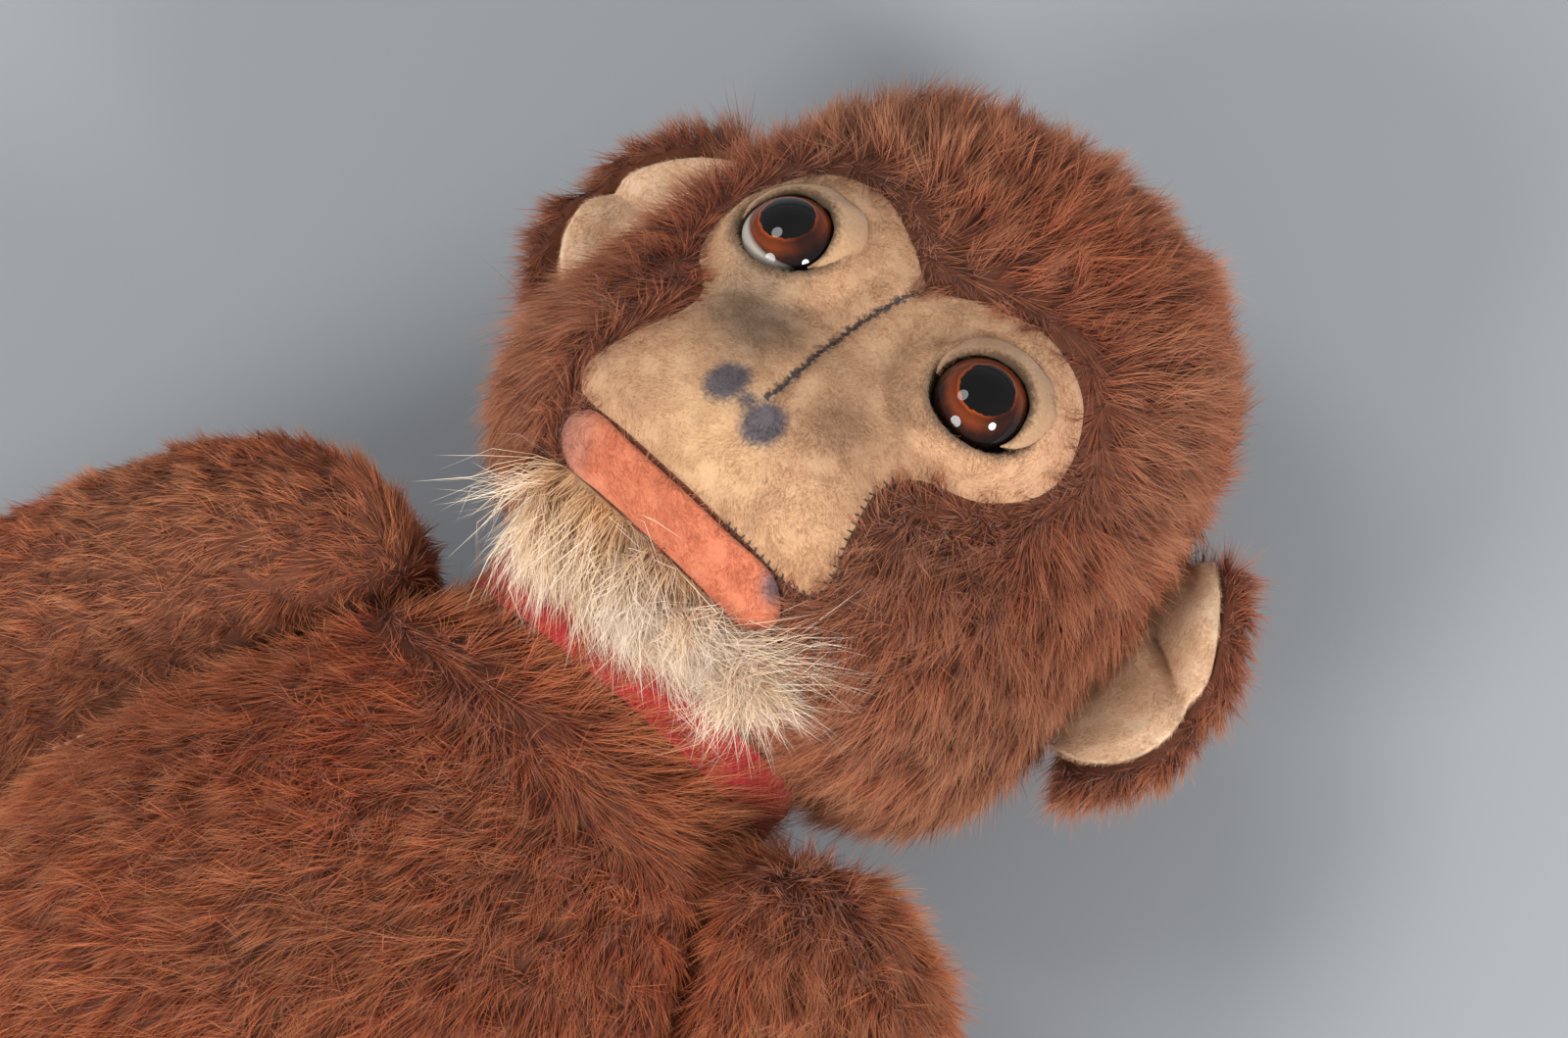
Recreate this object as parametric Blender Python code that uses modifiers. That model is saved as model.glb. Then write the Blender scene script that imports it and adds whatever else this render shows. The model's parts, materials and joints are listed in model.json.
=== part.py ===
"""An old jointed mohair toy chimpanzee, lying on its back.

X is the toy's left, Y runs from the feet to the head, and Z is up, which is the toy's front.
The origin is on the small flat spot of its back. All sizes are in metres.
"""

from math import cos, pi, radians, sin, sqrt

import bmesh
import bpy
from mathutils import Vector
from mathutils.bvhtree import BVHTree

# Torso: a stuffed pear with its wide belly in the middle
TORSO_BOTTOM = -0.097
TORSO_TOP = 0.084
BELLY_HALF_WIDTH = 0.067
BELLY_FRONT = 0.110
BACK_SPOT_DEPTH = 0.005

# Neck
NECK_Y = 0.0883
NECK_Z = 0.0505
NECK_RADIUS = 0.0322
HEAD_NECK_RADIUS = 0.0315
NECK_STUB_LENGTH = 0.022
HEAD_TURN = radians(-4)
HEAD_LEAN = radians(4)

# Head, measured from the neck joint
HEAD_BASE = 0.0075
HEAD_HEIGHT = 0.127
HEAD_HALF_WIDTH = 0.0565
HEAD_BACK = 0.0485
HEAD_FRONT = 0.0465
MUZZLE_PUSH = 0.017
MUZZLE_HALF_WIDTH = 0.036
EYE_LEVEL = 0.069

# Face
FELT = 0.0013
FELT_LIFT = 0.0014
MASK_NOTCH = 0.0115
MASK_TOP = 0.019
MASK_HALF_WIDTH = 0.0375
MASK_WAIST = 0.023
MASK_BOTTOM = 0.0425
MASK_BOTTOM_HALF_WIDTH = 0.028
LIP_LENGTH = 0.050
LIP_WIDTH = 0.0082
FELT_SEAM = 0.0007
CHIN_HALF_WIDTH = 0.025
CHIN_HEIGHT = 0.0065
CHIN_THICKNESS = 0.002

# Glass eyes on wire loops
EYE_SPACING = 0.043
EYE_DIAMETER = 0.016
EYE_DOME = 0.0049
EYE_RIM = 0.0016
EYE_SEAT = 0.0011
EYE_WIRE = 0.001
EYE_WIRE_LENGTH = 0.010
EYE_WIRE_SPREAD = 0.0009
EYE_RIM_ROUND = 0.3
LID_RADIUS = 0.0015
LID_START = radians(-12)
LID_SPAN = radians(204)
LID_TAPER = 0.55

# Ears
EAR_HEIGHT = 0.048
EAR_REACH = 0.026
EAR_CENTRE = 0.067
EAR_SETBACK = 0.008
EAR_THICKNESS = 0.003
EAR_CUP = 0.006
EAR_DROOP = radians(16)
EAR_FACING = radians(20)
EAR_LINING_INSET = 0.0035
EAR_ROOT_SHARE = 0.36
EAR_ROUNDING = 0.80
EAR_FAN = 0.14
EAR_CURL = 1.6

# Collar of folded tape
COLLAR_WIDTH = 0.0095
COLLAR_THICKNESS = 0.0014
COLLAR_CLEARANCE = 0.0005

# Arms: the joint's face leans outwards, so the arms splay past the belly
SHOULDER_X = 0.0460
SHOULDER_Y = 0.055
SHOULDER_Z = 0.058
SHOULDER_SPLAY = radians(26)
ARM_DROP = radians(8)
ARM_TOP = 0.028
ARM_LENGTH = 0.150
ARM_THICKNESS = 0.048
ARM_DEPTH = 0.058
ARM_BOW = 0.012
WRIST_SHARE = 0.74
HAND_LENGTH = 0.066
HAND_WIDTH = 0.036
HAND_THICKNESS = 0.013
HAND_TURN = radians(70)

# Legs
HIP_X = 0.050
HIP_Y = -0.062
HIP_Z = 0.045
LEG_TOP = 0.030
LEG_LENGTH = 0.150
LEG_THICKNESS = 0.042
LEG_DEPTH = 0.060
ANKLE_SHARE = 0.80
FOOT_LENGTH = 0.080
FOOT_WIDTH = 0.038
FOOT_THICKNESS = 0.016
HEEL = 0.020

# Stuffed limbs: how far the form runs past its cut end, and how it swells by the joint
LIMB_OVERRUN = 0.012
LIMB_SWELL = 0.20
LIMB_POLE = 0.40
FELT_EDGE_ROUND = 0.16

# Disc joints: two hardboard discs, two washers and a split pin each
NECK_DISC_RADIUS = 0.025
SHOULDER_DISC_RADIUS = 0.017
HIP_DISC_RADIUS = 0.020
DISC_THICKNESS = 0.003
WASHER_RADIUS = 0.009
WASHER_THICKNESS = 0.001
PIN_WIRE = 0.0016
PIN_SLIT = 0.0003
PIN_EYE_RADIUS = 0.0025
PIN_CURL_RADIUS = 0.0026
PIN_CLEARANCE = 0.00045
PIN_EYE_OPENING = radians(22)

# Clearances
GAP = 0.0003
CLOTH = 0.0012
POCKET_CLEARANCE = 0.0006
TRIM_SIZE = 0.4

# Sides of the turned pieces
NECK_SIDES = 24
JOINT_SIDES = 12
WASHER_SIDES = 8

LEFT, RIGHT = 1, -1
SIDES = (("left", LEFT), ("right", RIGHT))

# Colour, roughness and metallic value of each material
MOHAIR = ((0.30, 0.085, 0.045), 0.95, 0.0)
WORN_MOHAIR = ((0.26, 0.080, 0.045), 0.95, 0.0)
TAN_FELT = ((0.50, 0.33, 0.17), 0.95, 0.0)
CORAL_FELT = ((0.75, 0.22, 0.12), 0.95, 0.0)
CREAM_FELT = ((0.66, 0.50, 0.34), 0.95, 0.0)
GREY_FELT = ((0.42, 0.33, 0.24), 0.95, 0.0)
CREAM_MOHAIR = ((0.68, 0.56, 0.40), 0.95, 0.0)
AMBER_GLASS = ((0.30, 0.09, 0.02), 0.05, 0.0)
RED_TAPE = ((0.45, 0.015, 0.02), 0.85, 0.0)
HARDBOARD = ((0.22, 0.13, 0.07), 0.80, 0.0)
STEEL = ((0.40, 0.38, 0.36), 0.45, 1.0)


# Scene helpers


def clear_scene():
    for obj in list(bpy.data.objects):
        bpy.data.objects.remove(obj)


def new_collection(name):
    collection = bpy.data.collections.new(name)
    bpy.context.scene.collection.children.link(collection)
    return collection


def add_object(name, data, parent, collection):
    obj = bpy.data.objects.new(name, data)
    collection.objects.link(obj)
    obj.parent = parent
    return obj


def add_empty(name, parent, location=(0, 0, 0), rotation=(0, 0, 0)):
    empty = add_object(name, None, parent, toy)
    empty.empty_display_size = 0.02
    empty.location = location
    empty.rotation_euler = rotation
    return empty


def dress(obj, finish):
    """Gives the object a material of its own."""
    colour, roughness, metallic = finish
    material = bpy.data.materials.new(obj.name)
    material.use_nodes = True
    shader = material.node_tree.nodes["Principled BSDF"]
    shader.inputs["Base Color"].default_value = (*colour, 1)
    shader.inputs["Roughness"].default_value = roughness
    shader.inputs["Metallic"].default_value = metallic
    obj.data.materials.append(material)
    return obj


def as_cutter(obj):
    for collection in list(obj.users_collection):
        collection.objects.unlink(obj)
    cutters.objects.link(obj)
    obj.hide_render = True
    obj.display_type = "WIRE"
    return obj


def boolean(obj, other, operation="DIFFERENCE"):
    modifier = obj.modifiers.new(other.name, "BOOLEAN")
    modifier.operation = operation
    modifier.solver = "EXACT"
    modifier.object = other


def mesh_from(name, points, faces):
    mesh = bpy.data.meshes.new(name)
    mesh.from_pydata(points, [], faces)
    build = bmesh.new()
    build.from_mesh(mesh)
    bmesh.ops.recalc_face_normals(build, faces=build.faces)
    build.to_mesh(mesh)
    build.free()
    mesh.shade_smooth()
    return mesh


# Shape helpers


def ring(y, half_width, back, front, middle=(0, 0), count=12, fullness=(2.2, 2.2)):
    """A cage ring round the Y direction, widened by what one subdivision takes off its corners."""
    points = []
    grow = 1 / cos(pi / count)
    for step in range(count):
        angle = 2 * pi * step / count
        across, along = cos(angle), sin(angle)
        power = 2 / (fullness[1] if along > 0 else fullness[0])
        depth = front if along > 0 else back
        x = half_width * grow * abs(across) ** power * (1 if across > 0 else -1)
        z = depth * grow * abs(along) ** power * (1 if along > 0 else -1)
        points.append(Vector((middle[0] + x, y, middle[1] + z)))
    return points


def stuffed_form(name, rings, first_pole, last_pole, parent):
    """A soft closed form: a loft of cage rings with a pole at each end, subdivided once."""
    count = len(rings[0])
    points = [point for one in rings for point in one] + [first_pole, last_pole]
    faces = []
    for row in range(len(rings) - 1):
        for step in range(count):
            here = row * count + step
            beside = row * count + (step + 1) % count
            faces.append((here, beside, beside + count, here + count))
    last = (len(rings) - 1) * count
    for step in range(count):
        following = (step + 1) % count
        faces.append((following, step, len(points) - 2))
        faces.append((last + step, last + following, len(points) - 1))
    obj = add_object(name, mesh_from(name, points, faces), parent, toy)
    subdivision = obj.modifiers.new("soft", "SUBSURF")
    subdivision.levels = 1
    subdivision.render_levels = 1
    return obj


def turned(name, profile, parent, steps, closed=False, centre=False):
    """A profile of (radius, height) points, run down its outer side, turned round Z."""
    mesh = bpy.data.meshes.new(name)
    edges = [(i, i + 1) for i in range(len(profile) - 1)]
    if closed:
        edges.append((len(profile) - 1, 0))
    mesh.from_pydata([(r, 0, z) for r, z in profile], edges, [])
    obj = add_object(name, mesh, parent, toy)
    screw = obj.modifiers.new("turn", "SCREW")
    screw.steps = steps
    screw.render_steps = steps
    screw.use_merge_vertices = centre or closed
    screw.merge_threshold = 0.00001
    screw.use_smooth_shade = True
    return obj


def box(name, low, high, parent):
    """A block between two corners, in its parent's frame."""
    build = bmesh.new()
    bmesh.ops.create_cube(build, size=1)
    size = [b - a for a, b in zip(low, high)]
    middle = [(a + b) / 2 for a, b in zip(low, high)]
    bmesh.ops.scale(build, vec=size, verts=build.verts)
    bmesh.ops.translate(build, vec=middle, verts=build.verts)
    mesh = bpy.data.meshes.new(name)
    build.to_mesh(mesh)
    build.free()
    return add_object(name, mesh, parent, toy)


def wire(name, points, diameter, parent):
    curve = bpy.data.curves.new(name, "CURVE")
    curve.dimensions = "3D"
    curve.bevel_depth = diameter / 2
    curve.bevel_resolution = 1
    curve.use_fill_caps = True
    spline = curve.splines.new("POLY")
    spline.points.add(len(points) - 1)
    for point, place in zip(spline.points, points):
        point.co = (*place, 1)
    spline.use_smooth = True
    return add_object(name, curve, parent, toy)


def smooth_loop(corners, count):
    """Evenly spaced points on a smooth closed curve through the corners."""
    corners = [Vector(corner) for corner in corners]
    total = len(corners)
    dense = []
    for index in range(total):
        a, b, c, d = (corners[(index + k) % total] for k in (-1, 0, 1, 2))
        for step in range(16):
            t = step / 16
            bend = (2 * b) + (c - a) * t + (2 * a - 5 * b + 4 * c - d) * t**2
            dense.append((bend + (3 * b - a - 3 * c + d) * t**3) / 2)
    lengths = [(dense[(i + 1) % len(dense)] - p).length for i, p in enumerate(dense)]
    spacing = sum(lengths) / count
    loop, travelled, wanted = [], 0.0, 0.0
    for index, length in enumerate(lengths):
        while len(loop) < count and wanted <= travelled + length:
            share = (wanted - travelled) / length
            loop.append(dense[index].lerp(dense[(index + 1) % len(dense)], share))
            wanted += spacing
        travelled += length
    return loop


def both_sides(half):
    """The outline whose +X half, from top to bottom, starts and ends on the middle line."""
    return half + [(-x, y) for x, y in reversed(half[1:-1])]


def filled_patch(name, loop, centre, rows, lay, parent):
    """An open sheet inside a clockwise loop, each of its points laid in space by the lay function."""
    points = [lay(centre)]
    for row in range(1, rows + 1):
        points += [lay(centre.lerp(corner, row / rows)) for corner in loop]
    count = len(loop)
    faces = [(0, 1 + (step + 1) % count, 1 + step) for step in range(count)]
    for row in range(rows - 1):
        for step in range(count):
            here = 1 + row * count + step
            beside = 1 + row * count + (step + 1) % count
            faces.append((here, beside, beside + count, here + count))
    mesh = bpy.data.meshes.new(name)
    mesh.from_pydata(points, [], faces)
    mesh.shade_smooth()
    return add_object(name, mesh, parent, toy)


def thicken(obj, thickness, offset=1, even=True):
    solidify = obj.modifiers.new("thickness", "SOLIDIFY")
    solidify.thickness = thickness
    solidify.offset = offset
    solidify.use_even_offset = even
    return obj


# Disc joints


def pin_path(eye_start, curl_start):
    """The folded wire of a split pin: one curled leg, the eye, and back down the other leg."""
    leg = (PIN_WIRE + PIN_SLIT) / 2
    steps = 3
    curl = []
    for step in range(steps + 1):
        angle = pi * step / steps
        out = PIN_CURL_RADIUS * (1 - cos(angle))
        curl.append(Vector((leg + out, 0, curl_start - PIN_CURL_RADIUS * sin(angle))))
    rise = sqrt(PIN_EYE_RADIUS**2 - leg**2)
    opening = pi / 2 - PIN_EYE_OPENING
    eye = []
    turns = 5
    for step in range(turns + 1):
        angle = -opening + (pi + 2 * opening) * step / turns
        height = eye_start + rise + PIN_EYE_RADIUS * sin(angle)
        eye.append(Vector((PIN_EYE_RADIUS * cos(angle), 0, height)))
    other = [Vector((-point.x, 0, point.z)) for point in curl]
    return list(reversed(curl)) + eye + other


def disc_joint(name, seat, moving, turn, radius, torso, limb):
    """A disc joint round the seat's axis, from the torso at -Z to the limb at +Z of the turned frame."""
    hole = (PIN_WIRE + PIN_SLIT) / 2 + PIN_WIRE / 2 + PIN_CLEARANCE
    disc_start = GAP + CLOTH + GAP
    washer_start = disc_start + DISC_THICKNESS + GAP
    eye_start = washer_start + WASHER_THICKNESS + GAP
    eye_end = eye_start + 2 * PIN_EYE_RADIUS + PIN_WIRE / 2
    curl_start = eye_start + PIN_WIRE / 2
    curl_end = curl_start + PIN_CURL_RADIUS + PIN_WIRE / 2
    wide = radius + POCKET_CLEARANCE
    narrow = WASHER_RADIUS + POCKET_CLEARANCE
    stacks = (
        ("torso", -1, seat, torso, curl_end),
        ("limb", 1, moving, limb, eye_end),
    )
    for place, way, parent, solid, inner_end in stacks:
        section = plate(hole, radius, disc_start, DISC_THICKNESS, way)
        disc = turned(f"{name}_{place}_disc", section, parent, JOINT_SIDES, closed=True)
        disc.rotation_euler = turn
        dress(disc, HARDBOARD)
        section = plate(hole, WASHER_RADIUS, washer_start, WASHER_THICKNESS, way)
        washer = turned(f"{name}_{place}_washer", section, parent, WASHER_SIDES, closed=True)
        washer.rotation_euler = turn
        dress(washer, STEEL)
        depth = inner_end + POCKET_CLEARANCE
        profile = [
            (0, depth),
            (narrow, depth),
            (narrow, washer_start),
            (wide, washer_start),
            (wide, GAP + CLOTH),
            (hole, GAP + CLOTH),
            (hole, -CLOTH),
            (0, -CLOTH),
        ]
        if way < 0:
            profile = [(r, -z) for r, z in reversed(profile)]
        pocket = as_cutter(turned(f"{name}_{place}_pocket", profile, parent, JOINT_SIDES, centre=True))
        pocket.rotation_euler = turn
        boolean(solid, pocket)
    pin = wire(f"{name}_pin", pin_path(eye_start, -curl_start), PIN_WIRE, seat)
    pin.rotation_euler = turn
    dress(pin, STEEL)


def plate(hole, radius, start, thickness, way):
    """The cross-section of a flat round plate with a hole, on the way side of the joint's face."""
    low, high = sorted((way * start, way * (start + thickness)))
    return [(hole, high), (radius, high), (radius, low), (hole, low)]


# Torso


def make_torso():
    length = TORSO_TOP - TORSO_BOTTOM
    depth = BELLY_FRONT + BACK_SPOT_DEPTH
    # Share of the length, of the belly's half-width, and of the depth at the back and at the front
    stations = (
        (0.015, 0.42, 0.24, 0.62),
        (0.06, 0.72, 0.09, 0.80),
        (0.15, 0.88, 0.02, 0.91),
        (0.29, 0.91, 0.00, 0.96),
        (0.42, 0.92, 0.00, 0.99),
        (0.56, 1.00, 0.00, 1.00),
        (0.70, 1.00, 0.00, 0.94),
        (0.84, 0.91, 0.03, 0.85),
        (0.93, 0.77, 0.09, 0.79),
        (0.98, 0.56, 0.21, 0.73),
    )
    rings = []
    for along, wide, low, high in stations:
        middle = -BACK_SPOT_DEPTH + depth * (low + high) / 2
        half = depth * (high - low) / 2
        y = TORSO_BOTTOM + length * along
        rings.append(ring(y, BELLY_HALF_WIDTH * wide, half, half, (0, middle)))
    bottom = Vector((0, TORSO_BOTTOM, HIP_Z))
    top = Vector((0, TORSO_TOP, NECK_Z))
    torso = stuffed_form("torso", rings, bottom, top, None)
    neck_face = -GAP
    stub = turned(
        "torso_neck_stub",
        [(0, neck_face), (NECK_RADIUS, neck_face), (NECK_RADIUS, -NECK_STUB_LENGTH), (0, -NECK_STUB_LENGTH)],
        neck_seat,
        NECK_SIDES,
        centre=True,
    )
    stub.rotation_euler = NECK_AXIS_TURN
    boolean(torso, as_cutter(stub), "UNION")
    floor = box(
        "torso_floor_trim", (-TRIM_SIZE, -TRIM_SIZE, -TRIM_SIZE), (TRIM_SIZE, TRIM_SIZE, 0), None
    )
    boolean(torso, as_cutter(floor))
    for side_name, side in SIDES:
        shoulder = side_box(f"torso_{side_name}_shoulder_trim", -GAP, TRIM_SIZE, side, shoulder_seats[side])
        boolean(torso, shoulder)
        label = f"torso_{side_name}_hip_trim"
        hip = side_box(label, -GAP, BELLY_HALF_WIDTH, side, hip_seats[side], LEG_TOP + GAP)
        boolean(torso, hip)
    return dress(torso, MOHAIR)


def side_box(name, near, far, side, parent, top=TRIM_SIZE):
    """A block on one side of a joint's face, up to a height over the joint."""
    low, high = sorted((side * near, side * far))
    return as_cutter(box(name, (low, -TRIM_SIZE, -TRIM_SIZE), (high, top, TRIM_SIZE), parent))


# Head


def make_head():
    rise = HEAD_HEIGHT - HEAD_BASE
    # Share of the height, then of the half-width, back, front and muzzle
    stations = (
        (0.012, 0.54, 0.60, 0.62, 0.00),
        (0.05, 0.82, 0.84, 0.88, 0.12),
        (0.135, 0.96, 0.93, 0.98, 0.66),
        (0.245, 1.00, 0.99, 1.00, 1.00),
        (0.345, 0.99, 1.00, 0.95, 0.74),
        (0.45, 0.97, 1.00, 0.89, 0.30),
        (0.565, 0.94, 0.99, 0.86, 0.00),
        (0.70, 0.87, 0.94, 0.82, 0.00),
        (0.84, 0.73, 0.81, 0.69, 0.00),
        (0.945, 0.47, 0.53, 0.43, 0.00),
    )
    rings = []
    for along, wide, back, front, muzzle in stations:
        y = HEAD_BASE + rise * along
        one = ring(
            y,
            HEAD_HALF_WIDTH * wide,
            HEAD_BACK * back,
            HEAD_FRONT * front,
            count=16,
            fullness=(2.1, 2.7),
        )
        for point in one:
            if point.z > 0:
                point.z += MUZZLE_PUSH * muzzle / (1 + (point.x / MUZZLE_HALF_WIDTH) ** 6)
        rings.append(one)
    head = stuffed_form("head", rings, Vector((0, HEAD_BASE, 0)), Vector((0, HEAD_HEIGHT, 0)), head_frame)
    return dress(head, MOHAIR)


def surface_of(obj):
    """The object's evaluated surface, in its own frame."""
    graph = bpy.context.evaluated_depsgraph_get()
    return BVHTree.FromObject(obj, graph)


def add_head_neck(head):
    stub = turned(
        "head_neck_stub",
        [
            (0, NECK_STUB_LENGTH),
            (HEAD_NECK_RADIUS, NECK_STUB_LENGTH),
            (HEAD_NECK_RADIUS, GAP),
            (0, GAP),
        ],
        neck_seat,
        NECK_SIDES,
        centre=True,
    )
    stub.rotation_euler = NECK_AXIS_TURN
    boolean(head, as_cutter(stub), "UNION")


def head_hit(surface, x, y):
    """Where a straight line from the front meets the head: (point, normal)."""
    point, normal, _, _ = surface.ray_cast(Vector((x, y, TRIM_SIZE)), Vector((0, 0, -1)))
    return point, normal


def laid_on(surface, lift):
    """A function that lays a flat point on the head, lifted off it along its normal."""

    def lay(flat):
        point, normal = head_hit(surface, flat.x, flat.y)
        return point + normal * lift

    return lay


def mask_outline():
    """The felt face: a round lobe over each eye, a waist at the cheeks and a broad muzzle."""
    half = [
        (0, MASK_NOTCH),
        (0.20 * MASK_HALF_WIDTH, 0.80 * MASK_TOP),
        (0.50 * MASK_HALF_WIDTH, MASK_TOP),
        (0.80 * MASK_HALF_WIDTH, 0.84 * MASK_TOP),
        (0.97 * MASK_HALF_WIDTH, 0.38 * MASK_TOP),
        (MASK_HALF_WIDTH, -0.08 * MASK_TOP),
        (0.88 * MASK_HALF_WIDTH, -0.24 * MASK_BOTTOM),
        (1.08 * MASK_WAIST, -0.37 * MASK_BOTTOM),
        (MASK_WAIST, -0.52 * MASK_BOTTOM),
        (0.92 * MASK_BOTTOM_HALF_WIDTH, -0.73 * MASK_BOTTOM),
        (MASK_BOTTOM_HALF_WIDTH, -0.90 * MASK_BOTTOM),
        (0.90 * MASK_BOTTOM_HALF_WIDTH, -0.995 * MASK_BOTTOM),
        (0.45 * MASK_BOTTOM_HALF_WIDTH, -MASK_BOTTOM),
        (0, -MASK_BOTTOM),
    ]
    return [(x, EYE_LEVEL + y) for x, y in both_sides(half)]


def make_mask(surface):
    loop = smooth_loop([(x, y, 0) for x, y in mask_outline()], 36)
    centre = Vector((0, EYE_LEVEL - 0.30 * MASK_BOTTOM, 0))
    mask = filled_patch("face_mask", loop, centre, 6, laid_on(surface, FELT_LIFT), head_frame)
    thicken(mask, FELT)
    return dress(mask, TAN_FELT)


def make_lip(surface):
    top = EYE_LEVEL - MASK_BOTTOM - FELT_SEAM
    middle = top - LIP_WIDTH / 2
    end = LIP_LENGTH / 2
    half_width = LIP_WIDTH / 2
    half = [
        (0, half_width),
        (0.45 * end, half_width),
        (end - half_width, half_width),
        (end, 0),
        (end - half_width, -half_width),
        (0.45 * end, -half_width),
        (0, -half_width),
    ]
    outline = [(x, middle + y, 0) for x, y in both_sides(half)]
    loop = smooth_loop(outline, 26)
    lip = filled_patch("upper_lip", loop, Vector((0, middle, 0)), 2, laid_on(surface, FELT_LIFT), head_frame)
    thicken(lip, FELT)
    return dress(lip, CORAL_FELT)


def make_chin(surface):
    top = EYE_LEVEL - MASK_BOTTOM - 2 * FELT_SEAM - LIP_WIDTH
    half = [
        (0, 0),
        (0.55 * CHIN_HALF_WIDTH, 0),
        (0.92 * CHIN_HALF_WIDTH, -0.04 * CHIN_HEIGHT),
        (CHIN_HALF_WIDTH, -0.38 * CHIN_HEIGHT),
        (0.84 * CHIN_HALF_WIDTH, -0.72 * CHIN_HEIGHT),
        (0.50 * CHIN_HALF_WIDTH, -CHIN_HEIGHT),
        (0, -CHIN_HEIGHT),
    ]
    outline = [(x, top + y, 0) for x, y in both_sides(half)]
    loop = smooth_loop(outline, 22)
    middle = Vector((0, top - CHIN_HEIGHT / 2, 0))
    chin = filled_patch("chin", loop, middle, 2, laid_on(surface, FELT_LIFT), head_frame)
    thicken(chin, CHIN_THICKNESS, even=False)
    return dress(chin, CREAM_MOHAIR)


def make_eye(surface, side_name, side, head, mask):
    """A domed glass eye on the felt, the wire loop behind it, and the felt lid round its top."""
    spot, normal = head_hit(surface, side * EYE_SPACING / 2, EYE_LEVEL)
    seat = add_empty(f"eye_seat_{side_name}", head_frame)
    seat.location = spot
    seat.rotation_euler = normal.to_track_quat("Z", "Y").to_euler()
    radius = EYE_DIAMETER / 2
    base = FELT_LIFT + FELT + EYE_SEAT
    ball = (radius**2 + EYE_DOME**2) / (2 * EYE_DOME)
    spread = 2 * EYE_DOME * radius / (radius**2 + EYE_DOME**2)
    steps = 4
    profile = []
    for step in range(steps + 1):
        out = ball * spread * step / steps
        profile.append((out, base + EYE_RIM + EYE_DOME - ball + sqrt(ball**2 - out**2)))
    edge = EYE_RIM * EYE_RIM_ROUND
    profile += [(radius, base + edge), (radius - edge, base), (0, base)]
    eye = turned(f"eye_{side_name}", profile, seat, 16, centre=True)
    dress(eye, AMBER_GLASS)

    ends = base - GAP
    loop_centre = ends - EYE_WIRE_LENGTH
    loop = []
    for step in range(6):
        angle = pi * step / 5
        loop.append((EYE_WIRE_SPREAD * cos(angle), 0, loop_centre - EYE_WIRE_SPREAD * sin(angle)))
    path = [(EYE_WIRE_SPREAD, 0, ends)] + loop + [(-EYE_WIRE_SPREAD, 0, ends)]
    dress(wire(f"eye_wire_{side_name}", path, EYE_WIRE, seat), STEEL)
    hole = EYE_WIRE_SPREAD + EYE_WIRE / 2 + PIN_CLEARANCE
    bottom = loop_centre - EYE_WIRE_SPREAD - EYE_WIRE - POCKET_CLEARANCE
    section = [(0, base), (hole, base), (hole, bottom), (0, bottom)]
    bore = turned(f"eye_bore_{side_name}", section, seat, 10, centre=True)
    as_cutter(bore)
    boolean(head, bore)
    boolean(mask, bore)

    lid_path = []
    lid_turn = radius + GAP + LID_RADIUS
    lid_steps = 9
    lid = wire(f"eyelid_{side_name}", [(0, 0, 0)] * (lid_steps + 1), 2 * LID_RADIUS, seat)
    for step in range(lid_steps + 1):
        share = step / lid_steps
        angle = LID_START + LID_SPAN * share
        lid_path.append((lid_turn * cos(angle), lid_turn * sin(angle)))
    for step, (point, place) in enumerate(zip(lid.data.splines[0].points, lid_path)):
        flat_x, flat_y = place
        local = seat.rotation_euler.to_matrix() @ Vector((flat_x, flat_y, 0)) + spot
        under, _ = head_hit(surface, local.x, local.y)
        height = (seat.rotation_euler.to_matrix().transposed() @ (under - spot)).z
        thin = 1 - LID_TAPER * abs(2 * step / lid_steps - 1) ** 3
        point.co = (flat_x, flat_y, height + FELT_LIFT + FELT + GAP + LID_RADIUS * thin, 1)
        point.radius = thin
    dress(lid, GREY_FELT)


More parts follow.
